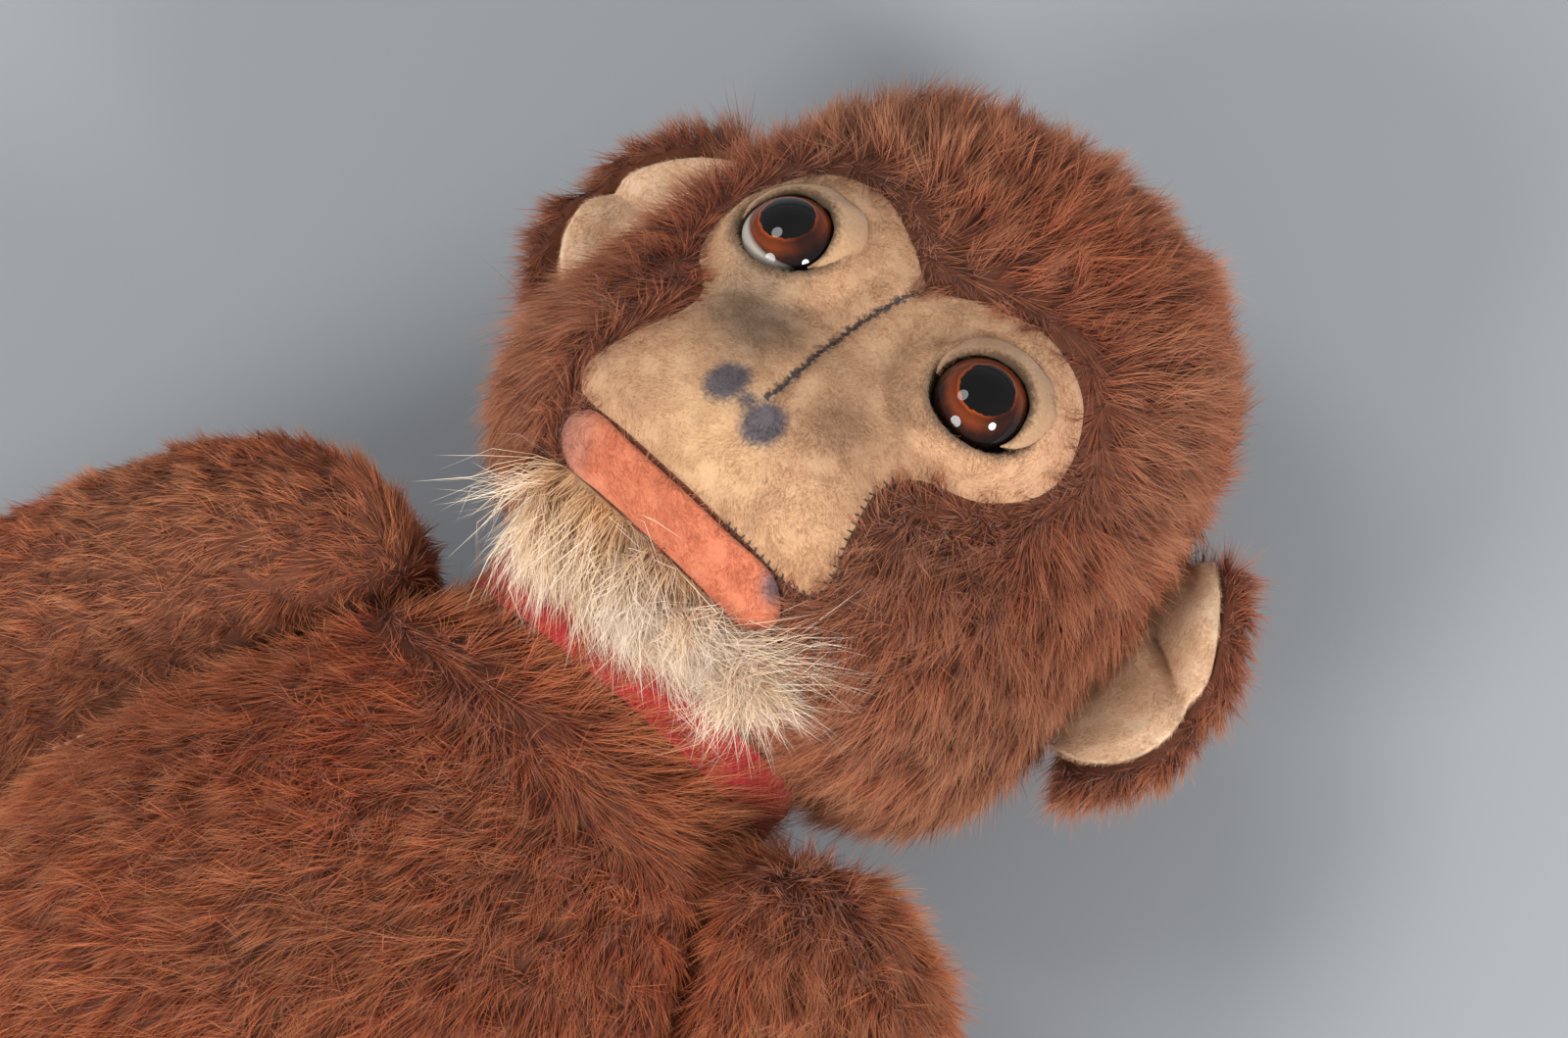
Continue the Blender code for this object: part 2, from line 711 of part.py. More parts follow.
def make_ear(surface, side_name, side):
    """A cupped mohair flap rooted on the side of the head, with a felt lining on its front."""
    rows, columns = 7, 5

    def root(share):
        height = EAR_CENTRE + EAR_HEIGHT * EAR_ROOT_SHARE * share
        start = Vector((side * TRIM_SIZE, height, -EAR_SETBACK))
        point, normal, _, _ = surface.ray_cast(start, Vector((-side, 0, 0)))
        return point, normal

    out = Vector((side * cos(EAR_DROOP), -sin(EAR_DROOP), 0))
    up = Vector((side * sin(EAR_DROOP), cos(EAR_DROOP), 0))
    facing = Vector((-side * sin(EAR_FACING), 0, cos(EAR_FACING)))
    out = (out - facing * out.dot(facing)).normalized()

    def flap(along, across, forward):
        """The flap's surface: along from -1 at its foot to 1 at its top, across from 0 at the root to 1."""
        base, normal = root(along)
        swell = sqrt(1 - (EAR_ROUNDING * along) ** 2)
        reach = EAR_REACH * across * swell
        fan = up * (along * EAR_HEIGHT * EAR_FAN * across)
        cup = facing * (EAR_CUP * (EAR_CURL * across**2 - across) * swell)
        lift = normal * (2 * GAP)
        return base + lift + out * reach + fan + cup + facing * forward

    def grid(name, along_range, across_range, forward, thickness, offset):
        points, faces = [], []
        for row in range(rows):
            along = along_range[0] + (along_range[1] - along_range[0]) * row / (rows - 1)
            for column in range(columns):
                share = column / (columns - 1)
                across = across_range[0] + (across_range[1] - across_range[0]) * share
                points.append(flap(along, across, forward))
        for row in range(rows - 1):
            for column in range(columns - 1):
                here = row * columns + column
                faces.append((here, here + 1, here + columns + 1, here + columns))
        if side < 0:
            faces = [tuple(reversed(face)) for face in faces]
        mesh = bpy.data.meshes.new(name)
        mesh.from_pydata(points, [], faces)
        mesh.shade_smooth()
        return thicken(add_object(name, mesh, head_frame, toy), thickness, offset)

    back = grid(f"ear_back_{side_name}", (-1, 1), (0, 1), 0, EAR_THICKNESS, -1)
    dress(back, MOHAIR)
    along_inset = EAR_LINING_INSET / (EAR_HEIGHT * 0.5)
    across_inset = EAR_LINING_INSET / EAR_REACH
    lining = grid(
        f"ear_lining_{side_name}",
        (-1 + along_inset, 1 - along_inset),
        (across_inset, 1 - across_inset),
        GAP,
        FELT,
        1,
    )
    dress(lining, CREAM_FELT)


# Collar


def make_collar():
    inner = NECK_RADIUS + COLLAR_CLEARANCE
    outer = inner + COLLAR_THICKNESS
    half = COLLAR_WIDTH / 2
    profile = [(inner, half), (outer, half), (outer, -half), (inner, -half)]
    collar = turned("collar", profile, neck_seat, NECK_SIDES, closed=True)
    collar.rotation_euler = NECK_AXIS_TURN
    return dress(collar, RED_TAPE)


# Arms and legs


def make_limb(name, side, parent, top, length, thickness, depth, bow, stations):
    """A stuffed limb with a flat inner face, hanging along -Y from its joint, cut flat at its end."""
    rings = []
    for along, thick, deep in stations:
        y = top - (top + length) * along
        swell = thickness * LIMB_SWELL * (1 - along)
        inner = bow * along**2 - swell
        outer = inner + thickness * thick + swell
        middle = side * (inner + outer) / 2
        half = (outer - inner) / 2
        rings.append(ring(y, half, depth * deep / 2, depth * deep / 2, (middle, 0), 8))
    first = Vector((side * thickness * LIMB_POLE, top, 0))
    last = Vector((side * (bow + thickness * LIMB_POLE), -length - LIMB_OVERRUN, 0))
    limb = stuffed_form(name, rings, first, last, parent)
    boolean(limb, side_box(f"{name}_face_trim", -TRIM_SIZE, GAP, side, parent))
    end = box(
        f"{name}_end_trim",
        (-TRIM_SIZE, -TRIM_SIZE, -TRIM_SIZE),
        (TRIM_SIZE, -length, TRIM_SIZE),
        parent,
    )
    boolean(limb, as_cutter(end))
    return limb


def arm_stations():
    """Share of the arm's length, then of its thickness and depth."""
    return (
        (0.015, 0.52, 0.52),
        (0.08, 0.86, 0.86),
        (0.25, 1.00, 1.00),
        (0.60, 0.89, 0.91),
        (0.98, WRIST_SHARE, 0.70),
        (1.06, 0.66, 0.62),
    )


def leg_stations():
    """Share of the leg's length, then of its thickness and depth."""
    return (
        (0.015, 0.52, 0.52),
        (0.08, 0.86, 0.86),
        (0.25, 1.00, 1.00),
        (0.60, 0.90, 0.85),
        (0.98, ANKLE_SHARE, 0.68),
        (1.06, 0.70, 0.60),
    )


def cut_out(name, outline, count, thickness, parent, top=TRIM_SIZE):
    """A stuffed felt shape with rounded edges: its outline lies in XY, its thickness along Z."""
    loop = smooth_loop([(x, y, 0) for x, y in outline], count)
    for point in loop:
        point.y = min(point.y, top)
    curve = bpy.data.curves.new(name, "CURVE")
    curve.dimensions = "2D"
    curve.fill_mode = "BOTH"
    curve.extrude = thickness / 2
    spline = curve.splines.new("POLY")
    spline.points.add(len(loop) - 1)
    spline.use_cyclic_u = True
    for point, place in zip(spline.points, loop):
        point.co = (place.x, place.y, 0, 1)
    shape = add_object(name, curve, parent, toy)
    weld = shape.modifiers.new("weld", "WELD")
    weld.merge_threshold = 0.00001
    bevel = shape.modifiers.new("round edges", "BEVEL")
    bevel.width = thickness * FELT_EDGE_ROUND
    bevel.segments = 1
    bevel.limit_method = "ANGLE"
    bevel.angle_limit = radians(60)
    return shape


def hand_outline(side):
    """A mitten of four short fingers with the thumb on the inner side, hanging from the wrist."""
    tip, half = -HAND_LENGTH, HAND_WIDTH / 2
    points = [
        (0.62 * half, 0),
        (0.72 * half, 0.22 * tip),
        (1.00 * half, 0.46 * tip),
        (0.98 * half, 0.78 * tip),
        (0.74 * half, 0.90 * tip),
        (0.54 * half, 0.80 * tip),
        (0.36 * half, 0.98 * tip),
        (0.12 * half, 0.98 * tip),
        (0.00 * half, 0.82 * tip),
        (-0.12 * half, 0.98 * tip),
        (-0.38 * half, 0.96 * tip),
        (-0.52 * half, 0.80 * tip),
        (-0.72 * half, 0.86 * tip),
        (-0.92 * half, 0.72 * tip),
        (-0.82 * half, 0.52 * tip),
        (-1.22 * half, 0.56 * tip),
        (-1.42 * half, 0.44 * tip),
        (-1.10 * half, 0.28 * tip),
        (-0.70 * half, 0.14 * tip),
        (-0.62 * half, 0),
    ]
    return [(side * x, y) for x, y in points]


def foot_outline(side):
    """A sole with short toes at the front and the big toe on the inner side."""
    heel, tip, half = -HEEL, FOOT_LENGTH - HEEL, FOOT_WIDTH / 2
    points = [
        (0.00 * half, heel),
        (0.66 * half, 0.70 * heel),
        (0.86 * half, 0.20 * tip),
        (1.00 * half, 0.60 * tip),
        (0.94 * half, 0.86 * tip),
        (0.68 * half, 0.94 * tip),
        (0.50 * half, 0.84 * tip),
        (0.30 * half, tip),
        (0.08 * half, tip),
        (-0.06 * half, 0.86 * tip),
        (-0.24 * half, 0.98 * tip),
        (-0.48 * half, 0.95 * tip),
        (-0.60 * half, 0.74 * tip),
        (-1.04 * half, 0.78 * tip),
        (-1.26 * half, 0.60 * tip),
        (-0.92 * half, 0.34 * tip),
        (-0.66 * half, 0.70 * heel),
    ]
    return [(side * x, y) for x, y in points]


def make_arm(side_name, side):
    joint = shoulder_joints[side]
    sizes = (ARM_TOP, ARM_LENGTH, ARM_THICKNESS, ARM_DEPTH, ARM_BOW)
    arm = make_limb(f"arm_{side_name}", side, joint, *sizes, arm_stations())
    dress(arm, MOHAIR if side == LEFT else WORN_MOHAIR)
    hand = cut_out(f"hand_{side_name}", hand_outline(side), 30, HAND_THICKNESS, joint, top=0.0)
    middle = side * (ARM_BOW + ARM_THICKNESS * WRIST_SHARE / 2)
    hand.location = (middle, -ARM_LENGTH - GAP, 0)
    hand.rotation_euler = (0, side * HAND_TURN, 0)
    dress(hand, TAN_FELT)
    return arm


def make_leg(side_name, side):
    joint = hip_joints[side]
    sizes = (LEG_TOP, LEG_LENGTH, LEG_THICKNESS, LEG_DEPTH, 0.0)
    leg = make_limb(f"leg_{side_name}", side, joint, *sizes, leg_stations())
    dress(leg, MOHAIR)
    foot = cut_out(f"foot_{side_name}", foot_outline(side), 28, FOOT_THICKNESS, joint)
    middle = side * LEG_THICKNESS * ANKLE_SHARE / 2
    foot.location = (middle, -LEG_LENGTH - GAP - FOOT_THICKNESS / 2, 0)
    foot.rotation_euler = (radians(90), 0, 0)
    dress(foot, TAN_FELT)
    return leg


# The toy

clear_scene()
toy = new_collection("jointed_mohair_monkey")
cutters = new_collection("cutters")
cutters.hide_render = True

NECK_AXIS_TURN = (radians(-90), 0, 0)

neck_seat = add_empty("neck_seat", None, (0, NECK_Y, NECK_Z))
neck_joint = add_empty("neck_joint", neck_seat, rotation=(0, HEAD_TURN, 0))
head_frame = add_empty("head_frame", neck_joint, rotation=(0, 0, -HEAD_LEAN))

shoulder_seats, shoulder_joints, hip_seats, hip_joints = {}, {}, {}, {}
for side_label, way_out in SIDES:
    place = (way_out * SHOULDER_X, SHOULDER_Y, SHOULDER_Z)
    splay = (0, 0, way_out * SHOULDER_SPLAY)
    shoulder_seats[way_out] = add_empty(f"shoulder_seat_{side_label}", None, place, splay)
    shoulder_joints[way_out] = add_empty(
        f"shoulder_joint_{side_label}", shoulder_seats[way_out], rotation=(ARM_DROP, 0, 0)
    )
    hip_seats[way_out] = add_empty(f"hip_seat_{side_label}", None, (way_out * HIP_X, HIP_Y, HIP_Z))
    hip_joints[way_out] = add_empty(f"hip_joint_{side_label}", hip_seats[way_out])

bpy.context.view_layer.update()

torso_solid = make_torso()
head_solid = make_head()
add_head_neck(head_solid)
head_surface = surface_of(head_solid)
face_mask = make_mask(head_surface)
make_lip(head_surface)
make_chin(head_surface)
disc_joint("neck", neck_seat, neck_joint, NECK_AXIS_TURN, NECK_DISC_RADIUS, torso_solid, head_solid)
for side_label, way_out in SIDES:
    side_turn = (0, way_out * radians(90), 0)
    make_eye(head_surface, side_label, way_out, head_solid, face_mask)
    make_ear(head_surface, side_label, way_out)
    arm_solid = make_arm(side_label, way_out)
    disc_joint(
        f"shoulder_{side_label}",
        shoulder_seats[way_out],
        shoulder_joints[way_out],
        side_turn,
        SHOULDER_DISC_RADIUS,
        torso_solid,
        arm_solid,
    )
    leg_solid = make_leg(side_label, way_out)
    disc_joint(
        f"hip_{side_label}",
        hip_seats[way_out],
        hip_joints[way_out],
        side_turn,
        HIP_DISC_RADIUS,
        torso_solid,
        leg_solid,
    )
make_collar()
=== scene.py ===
# %% [markdown]
# # An old jointed mohair toy chimpanzee
#
# The real toy is a set of stuffed mohair bodies, turned on board discs, with a face cut from felt. This
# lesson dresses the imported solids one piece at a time: the cloth under the pile, then the felt, the glass
# and the tape, and last the pile itself. Everything is in metres, in the frame of the solids.

# %% Loading the frame
import json
from functools import partial
from math import cos, exp, pi, radians, sin, sqrt

import bmesh
import bpy
import numpy as np
from mathutils import Euler, Matrix, Vector, noise
from mathutils.bvhtree import BVHTree

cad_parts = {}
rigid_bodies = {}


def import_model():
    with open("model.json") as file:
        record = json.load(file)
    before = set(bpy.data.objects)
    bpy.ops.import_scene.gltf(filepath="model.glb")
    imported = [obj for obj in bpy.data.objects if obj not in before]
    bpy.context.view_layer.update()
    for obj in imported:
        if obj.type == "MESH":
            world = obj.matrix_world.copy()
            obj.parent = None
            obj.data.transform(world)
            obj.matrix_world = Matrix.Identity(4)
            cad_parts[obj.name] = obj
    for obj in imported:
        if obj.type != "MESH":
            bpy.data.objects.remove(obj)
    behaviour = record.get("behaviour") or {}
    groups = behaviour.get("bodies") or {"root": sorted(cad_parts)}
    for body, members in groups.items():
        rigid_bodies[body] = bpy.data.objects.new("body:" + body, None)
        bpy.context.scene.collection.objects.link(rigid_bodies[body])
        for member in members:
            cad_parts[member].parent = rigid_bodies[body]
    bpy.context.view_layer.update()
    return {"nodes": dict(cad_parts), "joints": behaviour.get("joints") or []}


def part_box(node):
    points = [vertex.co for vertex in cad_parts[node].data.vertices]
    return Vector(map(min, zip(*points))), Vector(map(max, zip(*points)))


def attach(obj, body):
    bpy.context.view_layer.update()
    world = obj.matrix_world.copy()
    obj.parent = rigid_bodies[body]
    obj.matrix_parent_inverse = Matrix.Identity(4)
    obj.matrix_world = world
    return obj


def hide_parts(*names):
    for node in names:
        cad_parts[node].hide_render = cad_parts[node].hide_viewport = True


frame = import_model()
MM = 0.001
# Blender's noise in three directions takes its seed from the clock unless it is given one
noise.seed_set(1)

# %% [markdown]
# ## Small helpers
#
# A node tree is quickest to read when each node is one line: its kind, what goes into it, and its settings.
# One function does that for materials and for geometry alike. Colours are written as they look on a screen,
# and one function turns them into the linear values that light works in.


# %% Helpers for nodes and colours
def linear(code):
    """A screen colour such as #A0593A as linear red, green, blue and alpha."""
    parts = [int(code[k:k + 2], 16) / 255 for k in (1, 3, 5)]
    return tuple(p / 12.92 if p <= 0.04045 else ((p + 0.055) / 1.055) ** 2.4 for p in parts) + (1.0,)


def set_inputs(tree, node, inputs):
    """Gives a node's inputs their values, by name or by number. A value may be another node's output."""
    for name, value in inputs.items() if isinstance(inputs, dict) else enumerate(inputs):
        if isinstance(value, bpy.types.NodeSocket):
            tree.links.new(value, node.inputs[name])
        else:
            node.inputs[name].default_value = value


def add_node(tree, kind, inputs=(), output=0, stops=(), **settings):
    """Adds a node with its settings and links, and returns one output. Stops are a ramp's colours."""
    made = tree.nodes.new(kind)
    for name, value in settings.items():
        setattr(made, name, value)
    set_inputs(tree, made, inputs)
    if stops:
        ramp = made.color_ramp.elements
        for end, (position, code) in zip((ramp[0], ramp[1]), (stops[0], stops[-1])):
            end.position, end.color = position, linear(code)
        for position, code in stops[1:-1]:
            ramp.new(position).color = linear(code)
    return made.outputs[output]


def shade(material, **values):
    """Gives a material's shader its values or the outputs that drive it, such as Base_Color."""
    tree = material.node_tree
    named = {name.replace("_", " "): value for name, value in values.items()}
    set_inputs(tree, tree.nodes["Principled BSDF"], named)


def new_material(name, **values):
    """A material with one Principled shader, and the function that adds nodes to it."""
    material = bpy.data.materials.new(name)
    material.use_nodes = True
    shade(material, **values)
    return material, partial(add_node, material.node_tree)


def mottled(name, size, dark, light, detail=2.0, **values):
    """A material whose colour wanders between two, in patches of about the given size."""
    material, add = new_material(name, **values)
    place = add("ShaderNodeTexCoord", output="Object")
    cloud = add("ShaderNodeTexNoise", {"Vector": place, "Scale": 1 / size, "Detail": detail})
    shade(material, Base_Color=add("ShaderNodeValToRGB", [cloud], stops=((0, dark), (1, light))))
    return material


# %% Helpers for meshes
def add_piece(name, mesh, material=None):
    piece = bpy.data.objects.new(name, mesh)
    bpy.context.scene.collection.objects.link(piece)
    if material:
        mesh.materials.clear()
        mesh.materials.append(material)
    return piece


def grid_faces(rows, columns, around=False, turned=False):
    """Four-sided faces between rows of points. Around joins a row's ends, and turned faces the other way."""
    faces = []
    for row in range(rows - 1):
        for column in range(columns if around else columns - 1):
            here, beside = row * columns + column, row * columns + (column + 1) % columns
            face = (here, beside, beside + columns, here + columns)
            faces.append((here,) + face[:0:-1] if turned else face)
    return faces


def settled(piece):
    """The same piece with its modifiers worked into a plain mesh."""
    graph = bpy.context.evaluated_depsgraph_get()
    mesh = bpy.data.meshes.new_from_object(piece.evaluated_get(graph))
    piece.modifiers.clear()
    old = piece.data
    piece.data = mesh
    bpy.data.meshes.remove(old)
    return piece


def thickened(piece, thickness, offset):
    """A sheet given its thickness. The offset says on which side: -1 behind, 0 on both, 1 in front."""
    solid = piece.modifiers.new("thickness", "SOLIDIFY")
    solid.thickness = thickness
    solid.offset = offset
    settled(piece).data.shade_smooth()
    return piece


def softened(piece, voxel, passes):
    """A body meshed evenly and smoothed, as a stuffed one is."""
    remesh = piece.modifiers.new("even", "REMESH")
    remesh.mode = "VOXEL"
    remesh.voxel_size = voxel
    piece.modifiers.new("soften", "SMOOTH").iterations = passes
    return settled(piece)


def read_vectors(items, field):
    """Vectors kept in a mesh, as the rows of an array."""
    flat = np.empty(len(items) * 3, dtype=np.float32)
    items.foreach_get(field, flat)
    return flat.reshape(-1, 3).astype(float)


def points_of(mesh):
    return read_vectors(mesh.vertices, "co")


def normals_of(mesh):
    return read_vectors(mesh.vertex_normals, "vector")


def move_points(mesh, places):
    mesh.vertices.foreach_set("co", places.astype(np.float32).ravel())


def write_value(mesh, name, values):
    """Stores one number or one direction for each point, for the nodes to read."""
    values = np.asarray(values, dtype=np.float32)
    kind, field = ("FLOAT", "value") if values.ndim == 1 else ("FLOAT_VECTOR", "vector")
    mesh.attributes.new(name, kind, "POINT").data.foreach_set(field, values.ravel())


def new_mesh(mesh_name, points, faces=(), **values):
    """A mesh from its points and faces, with named values for each point."""
    mesh = bpy.data.meshes.new(mesh_name)
    mesh.from_pydata(points, [], faces)
    for name, numbers in values.items():
        write_value(mesh, name, numbers)
    return mesh


def unit(vectors):
    return vectors / np.maximum(np.linalg.norm(vectors, axis=-1, keepdims=True), 1e-9)


def smooth_step(low, high, value):
    share = np.clip((value - low) / (high - low), 0, 1)
    return share * share * (3 - 2 * share)


def waves(points, size, seed):
    """Soft noise in three directions, with bumps of about the given size."""
    shift = Vector((seed * 7.31, seed * 3.17, seed * 5.03))
    return np.array([noise.noise_vector(Vector(p) / size + shift) for p in points])


def search_tree(meshes, turned=Matrix()):
    """A tree that finds the nearest place on some meshes, or where a line meets them."""
    points, faces = [], []
    for mesh in meshes:
        start = len(points)
        points += [turned @ vert.co for vert in mesh.vertices]
        faces += [[start + index for index in poly.vertices] for poly in mesh.polygons]
    return BVHTree.FromPolygons(points, faces)


def solids_tree(*names):
    return search_tree([frame["nodes"][name].data for name in names])


def gap_to(tree, points, reach):
    """Each point's distance to a tree's surface, up to a reach."""
    found = [tree.find_nearest(Vector(p), reach)[3] for p in points]
    return np.array([reach if value is None else value for value in found])


# %% [markdown]
# ## Where the head sits
#
# The head is turned a little on its neck joint and leans to one side. A face is easier to draw flat, so the
# head's own frame is kept here: X to the toy's left, Y to its crown, and Z out of its face.

# %% The head's frame
NECK = Vector((0, 0.0883, 0.0505))
HEAD_TURN = radians(-4)
HEAD_LEAN = radians(4)
head_turned = Euler((0, HEAD_TURN, 0)).to_matrix() @ Euler((0, 0, -HEAD_LEAN)).to_matrix()
head_axes = np.array(head_turned)
head_frame = Matrix.Translation(NECK) @ head_turned.to_4x4()
EYE_LEVEL = 69 * MM
EYE_SPACING = 43 * MM
EYES = {"left": 1, "right": -1}
joints = {joint["name"]: joint for joint in frame["joints"]}


def in_head(points):
    """World points as the head's own flat X and Y, and Z out of the face."""
    return (np.asarray(points) - np.array(NECK)) @ head_axes


# %% [markdown]
# ## Floor, light and camera
#
# The toy was photographed from above and to its left on plain paper, in soft light with a
# brighter window on the lower right. Large area lights give the same soft shadow, and the round highlights in
# the glass. The camera is far enough away to keep the long lens's calm perspective.

# %% Floor, light and camera
LOOK_SIDE = radians(15)
LOOK_FEET = radians(9)
IMAGE_UP = Vector((-0.656, 0.755, 0))
TARGET = Vector((0.0060, 0.1254, 0.075))
CAMERA_DISTANCE = 0.552
LENS = 75
FLOOR_HALF = 3

corners = [(x * FLOOR_HALF, y * FLOOR_HALF, 0) for x, y in ((-1, -1), (1, -1), (1, 1), (-1, 1))]
paper, _ = new_material("matt_paper", Roughness=0.9, Base_Color=linear("#9DA1A5"))
floor = add_piece("paper_floor", new_mesh("paper_floor", corners, [(0, 1, 2, 3)]), paper)

toward = Vector((sin(LOOK_SIDE), -sin(LOOK_FEET), cos(LOOK_SIDE))).normalized()
right = IMAGE_UP.cross(toward).normalized()
up = toward.cross(right)
camera = add_piece("camera", bpy.data.cameras.new("camera"))
camera.data.lens = LENS
camera.data.sensor_width = 36
camera.data.clip_start = 0.01
camera.rotation_mode = "QUATERNION"
camera.rotation_quaternion = Matrix((right, up, toward)).transposed().to_quaternion()
camera.location = TARGET + toward * CAMERA_DISTANCE
bpy.context.scene.camera = camera


def soft_light(name, across, along, height, size, power):
    """An area light placed by the picture's own right and up, pointing at the toy."""
    light = add_piece(name, bpy.data.lights.new(name, "AREA"))
    light.data.shape = "DISK"
    light.data.size = size
    light.data.energy = power
    light.location = TARGET + right * across + up * along + toward * height
    light.rotation_mode = "QUATERNION"
    light.rotation_quaternion = (light.location - TARGET).to_track_quat("Z", "Y")


soft_light("window", 0.75, -0.70, 1.00, 0.38, 17.0)
soft_light("lower_left_fill", -0.95, -0.45, 0.90, 0.55, 12.0)
soft_light("upper_left_fill", -0.70, 0.85, 1.10, 0.60, 6.5)
world = bpy.data.worlds.new("studio")
bpy.context.scene.world = world
world.use_nodes = True
world.node_tree.nodes["Background"].inputs["Color"].default_value = linear("#E4E7EC")
world.node_tree.nodes["Background"].inputs["Strength"].default_value = 0.50
bpy.context.scene.view_settings.view_transform = "Standard"
print("camera at", [round(v, 3) for v in camera.location])

# %% [markdown]
# ## The cloth under the pile
#
# Mohair is a woven backing with tufts of goat hair standing in it. The backing only shows between the
# tufts, where its dark colour is painted shade, but it gives every hair its root. It is a copy of each
# stuffed
# solid: the pin's hole is closed, so the pockets of the joint drop out, and a remesh and a little smoothing
# make it soft.

# %% Cloth bodies from the solids
PIN_REACH = 2.35 * MM
PIN_DEPTH = 3 * MM


def biggest_part(build):
    """Keeps only the largest connected part of a mesh."""
    left, parts = set(build.verts), []
    while left:
        part, queue = set(), [left.pop()]
        while queue:
            vert = queue.pop()
            part.add(vert)
            others = {edge.other_vert(vert) for edge in vert.link_edges} & left
            left -= others
            queue.extend(others)
        parts.append(part)
    parts.sort(key=lambda one: -max((v.co - next(iter(one)).co).length for v in one))
    for part in parts[1:]:
        bmesh.ops.delete(build, geom=list(part), context="VERTS")


def near_pin(place):
    """True for a point in the hole of any joint's pin."""
    for joint in joints.values():
        offset, axis = place - Vector(joint["pos_m"]), Vector(joint["axis"])
        depth = offset.dot(axis)
        if abs(depth) < PIN_DEPTH and (offset - axis * depth).length < PIN_REACH:
            return True
    return False


def cloth_body(name, voxel, passes):
    """The outer surface of a stuffed solid, evenly meshed and softened."""
    build = bmesh.new()
    build.from_mesh(frame["nodes"][name].data)
    bmesh.ops.remove_doubles(build, verts=build.verts, dist=0.00001)
    holes = [face for face in build.faces if near_pin(face.calc_center_median())]
    bmesh.ops.delete(build, geom=holes, context="FACES")
    biggest_part(build)
    bmesh.ops.holes_fill(build, edges=[edge for edge in build.edges if edge.is_boundary])
    bmesh.ops.recalc_face_normals(build, faces=build.faces)
    mesh = bpy.data.meshes.new(f"{name}_cloth")
    build.to_mesh(mesh)
    build.free()
    piece = softened(add_piece(f"{name}_cloth", mesh), voxel, passes)
    piece.data.shade_smooth()
    return piece


BODY_OF = {"torso": "torso_body", "head": "head_body"}
BODY_OF |= {f"{limb}_{side}": f"{side}_{limb}" for limb in ("arm", "leg") for side in EYES}
cloths = {name: cloth_body(name, (2.6 if name == "head" else 3.4) * MM, 6) for name in BODY_OF}
head_cloth = cloths["head"]
print("cloth faces:", {name: len(cloth.data.polygons) for name, cloth in cloths.items()})

# %% [markdown]
# ## How the pile lies
#
# Every hair needs three facts from its place on the cloth: which way the pile is brushed, how long it is,
# and whether there is pile at all. They are worked out for each point of the cloth and stored on it, so that
# the nodes can read them. Pile runs down a limb from its joint and back over a crown. Age has swirled and
# parted it.

# %% What the pile's facts are made of
PILE = 8.6 * MM


def joint_cover(points, body):
    """No pile on the flat face that a limb turns against."""
    cover = np.ones(len(points))
    for joint in joints.values():
        if body not in (joint["parent"], joint["child"]):
            continue
        offset, axis = points - np.array(joint["pos_m"]), np.array(joint["axis"])
        depth = offset @ axis
        across = np.linalg.norm(offset - depth[:, None] * axis, axis=1)
        size = 30 * MM if joint["name"] == "neck_swivel" else 17 * MM
        cover[(np.abs(depth) < 2.5 * MM) & (across < size)] = 0
    return cover


def lay_pile(cloth, body, brush, length, cover, swirl, seed):
    """Writes the pile's facts on a cloth. The brushed direction is laid flat on the surface."""
    mesh = cloth.data
    points, out = points_of(mesh), normals_of(mesh)
    brush = unit(brush) + swirl * waves(points, 0.030, seed) + 0.6 * swirl * waves(points, 0.012, seed + 1)
    brush = brush - out * np.sum(brush * out, axis=1)[:, None]
    write_value(mesh, "comb", unit(brush))
    write_value(mesh, "pile", length * (1 + 0.30 * waves(points, 0.014, seed + 2)[:, 0]))
    write_value(mesh, "cover", cover * joint_cover(points, body))


def everywhere(points, *direction):
    """One direction, in the head's own frame, for every point."""
    return np.tile(head_axes @ np.array(direction), (len(points), 1))


# %% The head's pile
points = points_of(head_cloth.data)
flat = in_head(points)
nothing = 0 * flat[:, 0]
face_gap = gap_to(solids_tree("face_mask", "upper_lip", "chin"), points, 30 * MM)
ear_gap = gap_to(solids_tree("ear_lining_left", "ear_lining_right"), points, 14 * MM)
# Over the crown the pile is brushed back, on the cheeks down and back, always away from the face
away = np.stack([flat[:, 0] * 0.9, (flat[:, 1] - 68 * MM), -0.9 * np.abs(flat[:, 2]) - 5 * MM], axis=1)
cheek = smooth_step(72 * MM, 52 * MM, flat[:, 1])[:, None]
brush = unit(away) * (1 - cheek) + np.array([0.0, -1.0, -0.25]) * cheek
# Close to the felt the pile stands up, turns along the felt's edge and leans back over it
toward_face = np.stack([-flat[:, 0] * 0.6, EYE_LEVEL - 12 * MM - flat[:, 1], nothing], axis=1)
beside_face = np.stack([-toward_face[:, 1], toward_face[:, 0], nothing], axis=1)
leaning = smooth_step(6.5 * MM, 1.5 * MM, face_gap)[:, None]
turning = 4 * leaning * (1 - leaning)
brush = brush * (1 - leaning) + 0.9 * unit(toward_face) * leaning + 0.6 * unit(beside_face) * turning
# It is short beside the felt and the ears, and a little shorter at the neck
neck_near = smooth_step(12 * MM, 4 * MM, points[:, 1] - 88.6 * MM)
length = PILE * (0.50 + 0.50 * smooth_step(0.5 * MM, 9 * MM, face_gap)) * (1 - 0.10 * neck_near)
length *= 0.30 + 0.70 * smooth_step(2 * MM, 12 * MM, ear_gap)
cover = np.where(face_gap < 1.5 * MM, 0.0, 1.0) * smooth_step(89.0 * MM, 91 * MM, points[:, 1])
lay_pile(head_cloth, "head_body", brush @ head_axes.T, length, cover, 0.45, 1)

# %% The torso's and the limbs' pile
points = points_of(cloths["torso"].data)
crease = smooth_step(1 * MM, 9 * MM, gap_to(solids_tree("arm_left", "arm_right"), points, 14 * MM))
